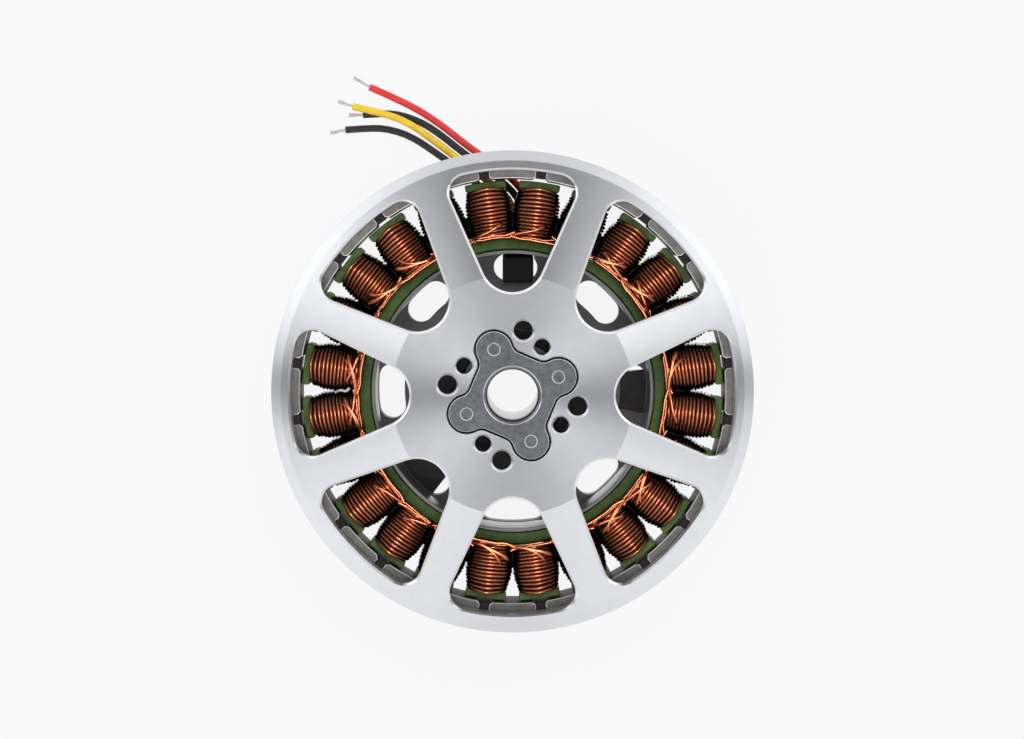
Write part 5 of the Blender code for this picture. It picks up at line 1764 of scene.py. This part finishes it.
@dataclass
class Leads:
    """The four leads: they leave the sleeve, pass under the skirt and lie on the floor."""

    exit_y: float
    exit_z: float = 2.3 * MM
    radius: float = 0.85 * MM
    lead_pitch: float = 1.95 * MM
    centre_x: float = 1.4 * MM
    exit_drop: float = 0.4 * MM
    step: float = 2.1 * MM
    floor: float = 0.89 * MM
    gap: float = 0.2 * MM
    strand_radius: float = 0.13 * MM
    strand_circle: float = 0.27 * MM
    strand_count: int = 7
    strand_reach: Flat = (0.88, 1.0)
    strand_flare: Flat = (1.2, 2.6)
    strand_twist: float = 2.6
    strand_steps: int = 12
    strand_lift: float = 0.02 * MM

    def all_leads(self) -> tuple[Lead, ...]:
        """The four routes, with points in metres as the CAD has them."""
        low = self.floor
        return (
            Lead("lead_black_b", (
                (-0.00177, 0.04160, low), (-0.00275, 0.04400, low), (-0.00715, 0.04760, low),
                (-0.01360, 0.05260, low), (-0.01890, 0.05640, low), (-0.02300, 0.05910, low),
                (-0.02700, 0.06090, low), (-0.03120, 0.06180, low), (-0.03520, 0.06180, low),
                (-0.03990, 0.06150, low),
            ), (-0.0439, 0.0607, low)),
            Lead("lead_yellow", (
                (0.00014, 0.04190, low), (-0.00110, 0.04510, low), (-0.00575, 0.04915, low),
                (-0.01250, 0.05420, low), (-0.01850, 0.05870, 0.00120), (-0.02300, 0.06190, 0.00260),
                (-0.02720, 0.06410, 0.00290), (-0.03140, 0.06540, 0.00290), (-0.03800, 0.06700, 0.00250),
            ), (-0.0418, 0.0683, 0.0013)),
            Lead("lead_black_a", (
                (0.00205, 0.04220, low), (0.00055, 0.04610, low), (-0.00435, 0.05065, low),
                (-0.01140, 0.05580, low), (-0.01830, 0.06110, low), (-0.02290, 0.06370, low),
                (-0.02860, 0.06530, low), (-0.03570, 0.06510, low),
            ), (-0.0393, 0.0650, low)),
            Lead("lead_red", (
                (0.00395, 0.04250, low), (0.00220, 0.04710, low), (-0.00295, 0.05220, low),
                (-0.01030, 0.05740, low), (-0.01740, 0.06290, low), (-0.02340, 0.06670, low),
                (-0.02960, 0.06970, low), (-0.03410, 0.07170, low),
            ), (-0.0381, 0.0741, low)),
        )

    def build_end(self, lead: Lead, start: Vector) -> bpy.types.Object:
        """The bare end: twisted strands that open a little at the tip."""
        tip = Vector(lead.tip)
        along = (tip - start).normalized()
        across = along.cross(Vector((0.0, 0.0, 1.0))).normalized()
        up = across.cross(along)
        length = (tip - start).length
        draw = random.Random(lead.name)
        strands = []
        for number in range(self.strand_count):
            ring = 0.0 if number == 0 else self.strand_circle
            phase = FULL_TURN * number / (self.strand_count - 1)
            reach = length * draw.uniform(*self.strand_reach)
            flare = draw.uniform(*self.strand_flare)
            points = []
            for step in range(self.strand_steps + 1):
                share = step / self.strand_steps
                turn = phase + self.strand_twist * share * math.pi
                spread = ring * (1.0 + (flare - 1.0) * share**2)
                place = start + along * (self.gap + (reach - self.gap) * share)
                place += across * spread * math.cos(turn) + up * spread * math.sin(turn)
                place.z = max(place.z, self.strand_radius + self.strand_lift)
                points.append(place)
            strands.append(wire("strand", points, self.strand_radius, resolution=1))
        end = joined(f"{lead.name}_strands", strands)
        rounded(end)
        STRAND_METAL.dress(end)
        return seat(end, Body.STATOR, Slot.STRANDS, f"{lead.name}_end")

    def build(self) -> None:
        leads = self.all_leads()
        for place, lead in enumerate(leads):
            across = self.centre_x + self.lead_pitch * (place - (len(leads) - 1) / 2.0)
            start = Vector((across, self.exit_y, self.exit_z))
            straight = Vector((across, self.exit_y + 2.0 * self.radius, self.exit_z - self.exit_drop))
            route = [start, straight, *(Vector(point) for point in lead.route)]
            points = smooth_route(route, self.step, self.floor)
            bpy.ops.object.select_all(action="DESELECT")
            bpy.ops.curve.primitive_nurbs_path_add()
            cord = named(f"{lead.name}_insulated")
            lay_spline(cord.data, points, self.radius, resolution=4)
            bpy.ops.object.location_clear()
            finish, slot = INSULATION[lead.name]
            finish.dress(cord)
            seat(cord, Body.STATOR, slot, lead.name)
            end = self.build_end(lead, points[-1])


@dataclass(frozen=True)
class Lamp:
    """A lamp of the studio."""

    name: str
    place: Point
    size: float
    power: float


@dataclass
class Studio:
    """The floor, the light and the camera."""

    rim_height: float = 27.0 * MM
    distance: float = 0.7
    lift_angle: float = 3.0
    lens: float = 106.45
    sensor: float = 36.0
    clip: Flat = (0.01, 20.0)
    aim: Flat = (-0.12 * MM, 5.38 * MM)
    floor_size: float = 6.0
    floor_white: tuple[float, float, float, float] = (0.95, 0.95, 0.9595, 1.0)
    floor_glow: float = 0.95
    plain_light: Colour = (0.62, 0.62, 0.62)
    backdrop: Colour = (0.95, 0.955, 0.96)
    tint: Colour = (0.97, 0.985, 1.03)
    near_horizon: tuple[Flat, ...] = (
        (-165, 1.15), (-140, 1.2), (-115, 1.0), (-90, 0.75), (-65, 0.92), (-40, 1.1), (-20, 1.15),
        (-10, 0.95), (0, 0.2), (10, 1.35), (20, 1.7), (45, 1.7), (75, 1.3), (105, 1.25), (130, 1.65),
        (160, 1.7), (170, 1.25), (180, 0.1),
    )
    half_way_up: tuple[Flat, ...] = (
        (-165, 0.72), (-145, 0.9), (-115, 0.85), (-90, 0.72), (-60, 0.85), (-30, 0.85), (-12, 0.55),
        (0, 0.1), (14, 0.85), (24, 1.15), (34, 1.15), (46, 0.8), (62, 0.25), (76, 0.03), (104, 0.03),
        (120, 0.3), (136, 0.85), (146, 1.15), (156, 1.15), (167, 0.85), (180, 0.12),
    )
    high_up: tuple[Flat, ...] = (
        (-168, 0.7), (-150, 1.5), (-120, 1.6), (-90, 1.7), (-60, 1.6), (-30, 1.5), (-12, 0.7),
        (0, 0.05), (12, 0.7), (30, 1.5), (52, 1.2), (72, 0.25), (108, 0.25), (128, 1.2), (150, 1.5),
        (168, 0.7), (180, 0.05),
    )
    overhead: tuple[Flat, ...] = (
        (-150, 0.6), (-120, 1.0), (-90, 1.1), (-60, 1.0), (-30, 0.6), (0, 0.2), (30, 0.3), (90, 0.45),
        (150, 0.3), (180, 0.2),
    )
    band_edges: tuple[Flat, ...] = ((0.22, 0.45), (0.78, 0.86), (0.92, 0.97))
    lamps: tuple[Lamp, ...] = (
        Lamp("key", (0.25, 0.75, 1.25), 0.9, 9.0),
        Lamp("fill", (-0.55, -0.7, 1.0), 0.8, 4.0),
    )
    glint: Lamp = Lamp("glint", (0.08, 0.06, 1.2), 0.42, 5.0)

    def build_camera(self) -> None:
        """A camera that looks down on the bell's face, a little from the leads' side."""
        camera = bpy.data.cameras.new("camera")
        camera.lens = self.lens
        camera.sensor_width = self.sensor
        camera.clip_start, camera.clip_end = self.clip
        obj = bpy.data.objects.new("camera", camera)
        bpy.context.scene.collection.objects.link(obj)
        centre = Vector((0.0, 0.0, self.rim_height))
        lift = math.radians(self.lift_angle)
        eye = centre + Vector((0.0, math.sin(lift), math.cos(lift))) * self.distance
        target = centre + Vector((*self.aim, 0.0))
        forward = (target - eye).normalized()
        right = forward.cross(Vector((0.0, 1.0, 0.0))).normalized()
        up = right.cross(forward)
        rotation = Matrix((right, up, -forward)).transposed()
        obj.matrix_world = Matrix.Translation(eye) @ rotation.to_4x4()
        bpy.context.scene.camera = obj

    def build_floor(self) -> None:
        """A pale floor that shows near white and still takes the motor's soft shadow."""
        bpy.ops.object.select_all(action="DESELECT")
        bpy.ops.mesh.primitive_plane_add(size=self.floor_size)
        floor = named("studio_floor")
        graph = Graph(bpy.data.materials.new("studio_floor"))
        path = graph.node("ShaderNodeLightPath").outputs
        seen = graph.worked_out("MAXIMUM", path["Is Camera Ray"], path["Is Glossy Ray"])
        seen = graph.worked_out("MAXIMUM", seen, path["Is Transmission Ray"])
        matt = graph.node("ShaderNodeBsdfDiffuse", {"Color": self.floor_white})
        glow = graph.node("ShaderNodeEmission", {"Color": self.floor_white, "Strength": 1.0})
        mix = graph.node("ShaderNodeMixShader", {
            0: graph.worked_out("MULTIPLY", seen, self.floor_glow), 1: matt.outputs[0], 2: glow.outputs[0],
        })
        output = next(node for node in graph.tree.nodes if node.type == "OUTPUT_MATERIAL")
        graph.put(output.inputs["Surface"], mix.outputs[0])
        floor.data.materials.append(graph.owner)

    @staticmethod
    def band(graph: Graph, turn: bpy.types.NodeSocket, stops: Sequence[Flat]) -> bpy.types.NodeSocket:
        """One band of the set's light round the motor.

        Args:
            graph: The world's nodes.
            turn: The direction round the axis, from 0 to 1.
            stops: Directions in degrees, -180 to 180 from +X, each with its brightness.

        Returns:
            The band's brightness.
        """
        ramp = graph.node("ShaderNodeValToRGB", {"Fac": turn})
        ramp.color_ramp.interpolation = "EASE"
        elements = ramp.color_ramp.elements
        last = stops[-1][1]
        elements[0].color = (last, last, last, 1.0)
        elements[-1].color = (last, last, last, 1.0)
        for angle, value in stops[:-1]:
            element = elements.new(angle / 360.0 + 0.5)
            element.color = (value, value, value, 1.0)
        return ramp.outputs["Color"]

    def build_world(self) -> None:
        """A white set whose panels and darker gaps the brushed metal shows as sectors."""
        world = bpy.data.worlds.new("studio")
        bpy.context.scene.world = world
        graph = Graph(world)
        way = graph.node("ShaderNodeTexCoord").outputs["Generated"]
        around = graph.node("ShaderNodeTexGradient", {"Vector": way}, gradient_type="RADIAL").outputs["Fac"]
        rise = graph.node("ShaderNodeSeparateXYZ", {"Vector": way}).outputs["Z"]
        seen = self.band(graph, around, self.near_horizon)
        for stops, (low, high) in zip((self.half_way_up, self.high_up, self.overhead), self.band_edges):
            share = graph.node("ShaderNodeMapRange", {"Value": rise, "From Min": low, "From Max": high},
                               interpolation_type="SMOOTHSTEP")
            seen = graph.blend(share.outputs["Result"], seen, self.band(graph, around, stops))
        tinted = graph.node("ShaderNodeVectorMath", {0: seen, 1: self.tint}, operation="MULTIPLY")
        path = graph.node("ShaderNodeLightPath").outputs
        light = graph.blend(path["Is Glossy Ray"], self.plain_light, tinted.outputs["Vector"])
        light = graph.blend(path["Is Camera Ray"], light, self.backdrop)
        graph.put(graph.tree.nodes["Background"].inputs["Color"], light)

    def build_lamp(self, lamp: Lamp) -> bpy.types.Object:
        """Hang one of the lamps."""
        light = bpy.data.lights.new(lamp.name, "AREA")
        light.size = lamp.size
        light.energy = lamp.power
        obj = bpy.data.objects.new(lamp.name, light)
        bpy.context.scene.collection.objects.link(obj)
        obj.location = lamp.place
        return obj

    def build_lamps(self) -> None:
        """A broad lamp over the leads' side and a weaker one opposite, which the metal doesn't mirror."""
        for lamp in self.lamps:
            obj = self.build_lamp(lamp)
            obj.visible_glossy = False
            obj.rotation_euler = obj.location.to_track_quat("Z", "Y").to_euler()

    def build_glint(self, receivers: Sequence[bpy.types.Object]) -> None:
        """A lamp beside the camera that lights only these pieces, for the glints along the coils."""
        obj = self.build_lamp(self.glint)
        obj.data.shape = "DISK"
        lit = bpy.data.collections.new("glint_receivers")
        for receiver in receivers:
            lit.objects.link(receiver)
        obj.light_linking.receiver_collection = lit

    def build(self) -> None:
        """Set up everything round the motor but the glint."""
        self.build_camera()
        self.build_floor()
        self.build_world()
        self.build_lamps()
        bpy.context.scene.view_settings.view_transform = "Standard"


def dress_kept_nodes(frame: dict) -> None:
    """Give the CAD nodes that stay in view their finish."""
    for name in ("bearing_shim", "shaft_circlip"):
        obj = frame["nodes"][name]
        for slot in obj.material_slots:
            slot.material = BEARING_RING.material()
        LOG.info("%s keeps its CAD form", name)


def main() -> None:
    """Build the motor's looks round the frame."""
    logging.basicConfig(level=logging.INFO, format="%(message)s")
    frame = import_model()
    studio = Studio()
    studio.build()

    sleeve_low, sleeve_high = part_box("lead_sleeve")
    Leads(exit_y=sleeve_high.y + Leads.gap).build()

    bell_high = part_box("rotor_bell")[1]
    flange_low, flange_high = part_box("shaft_flange")
    ring_low, ring_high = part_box("flux_ring")
    flange = Flange(top=flange_high.z, bottom=flange_low.z)
    Bell(top=bell_high.z, radius=bell_high.x, foot=ring_high.z + Bell.ring_gap).build(flange)
    flange.build()
    magnet_low, magnet_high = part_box("magnet_01")
    FluxRing(bottom=ring_low.z, top=ring_high.z, radius=ring_high.x,
             magnet_bottom=magnet_low.z, magnet_top=magnet_high.z).build()
    shaft_low, shaft_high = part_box("hollow_shaft")
    Shaft(bottom=shaft_low.z, top=shaft_high.z, radius=shaft_high.x).build()
    for name, body in (("upper_bearing", Body.UPPER_BALLS), ("lower_bearing", Body.LOWER_BALLS)):
        low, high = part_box(f"{name}_outer_ring")
        Bearing(name, low.z, high.z, body).build()

    core_low, core_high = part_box("stator_core")
    sleeve = Sleeve(inner_end=sleeve_low.y, exit_end=sleeve_high.y, top=sleeve_high.z)
    bearing_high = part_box("upper_bearing_outer_ring")[1]
    Base(upper_bearing_top=bearing_high.z, cup_top=core_high.z + Base.cup_rise).build(sleeve)
    sleeve.build()
    stator = Stator(bottom=core_low.z, top=core_high.z, coil_bottom=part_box("winding_a")[0].z)
    stator.build_core()
    studio.build_glint(stator.build_windings())
    stator.build_joint()
    dress_kept_nodes(frame)


if __name__ == "__main__":
    main()
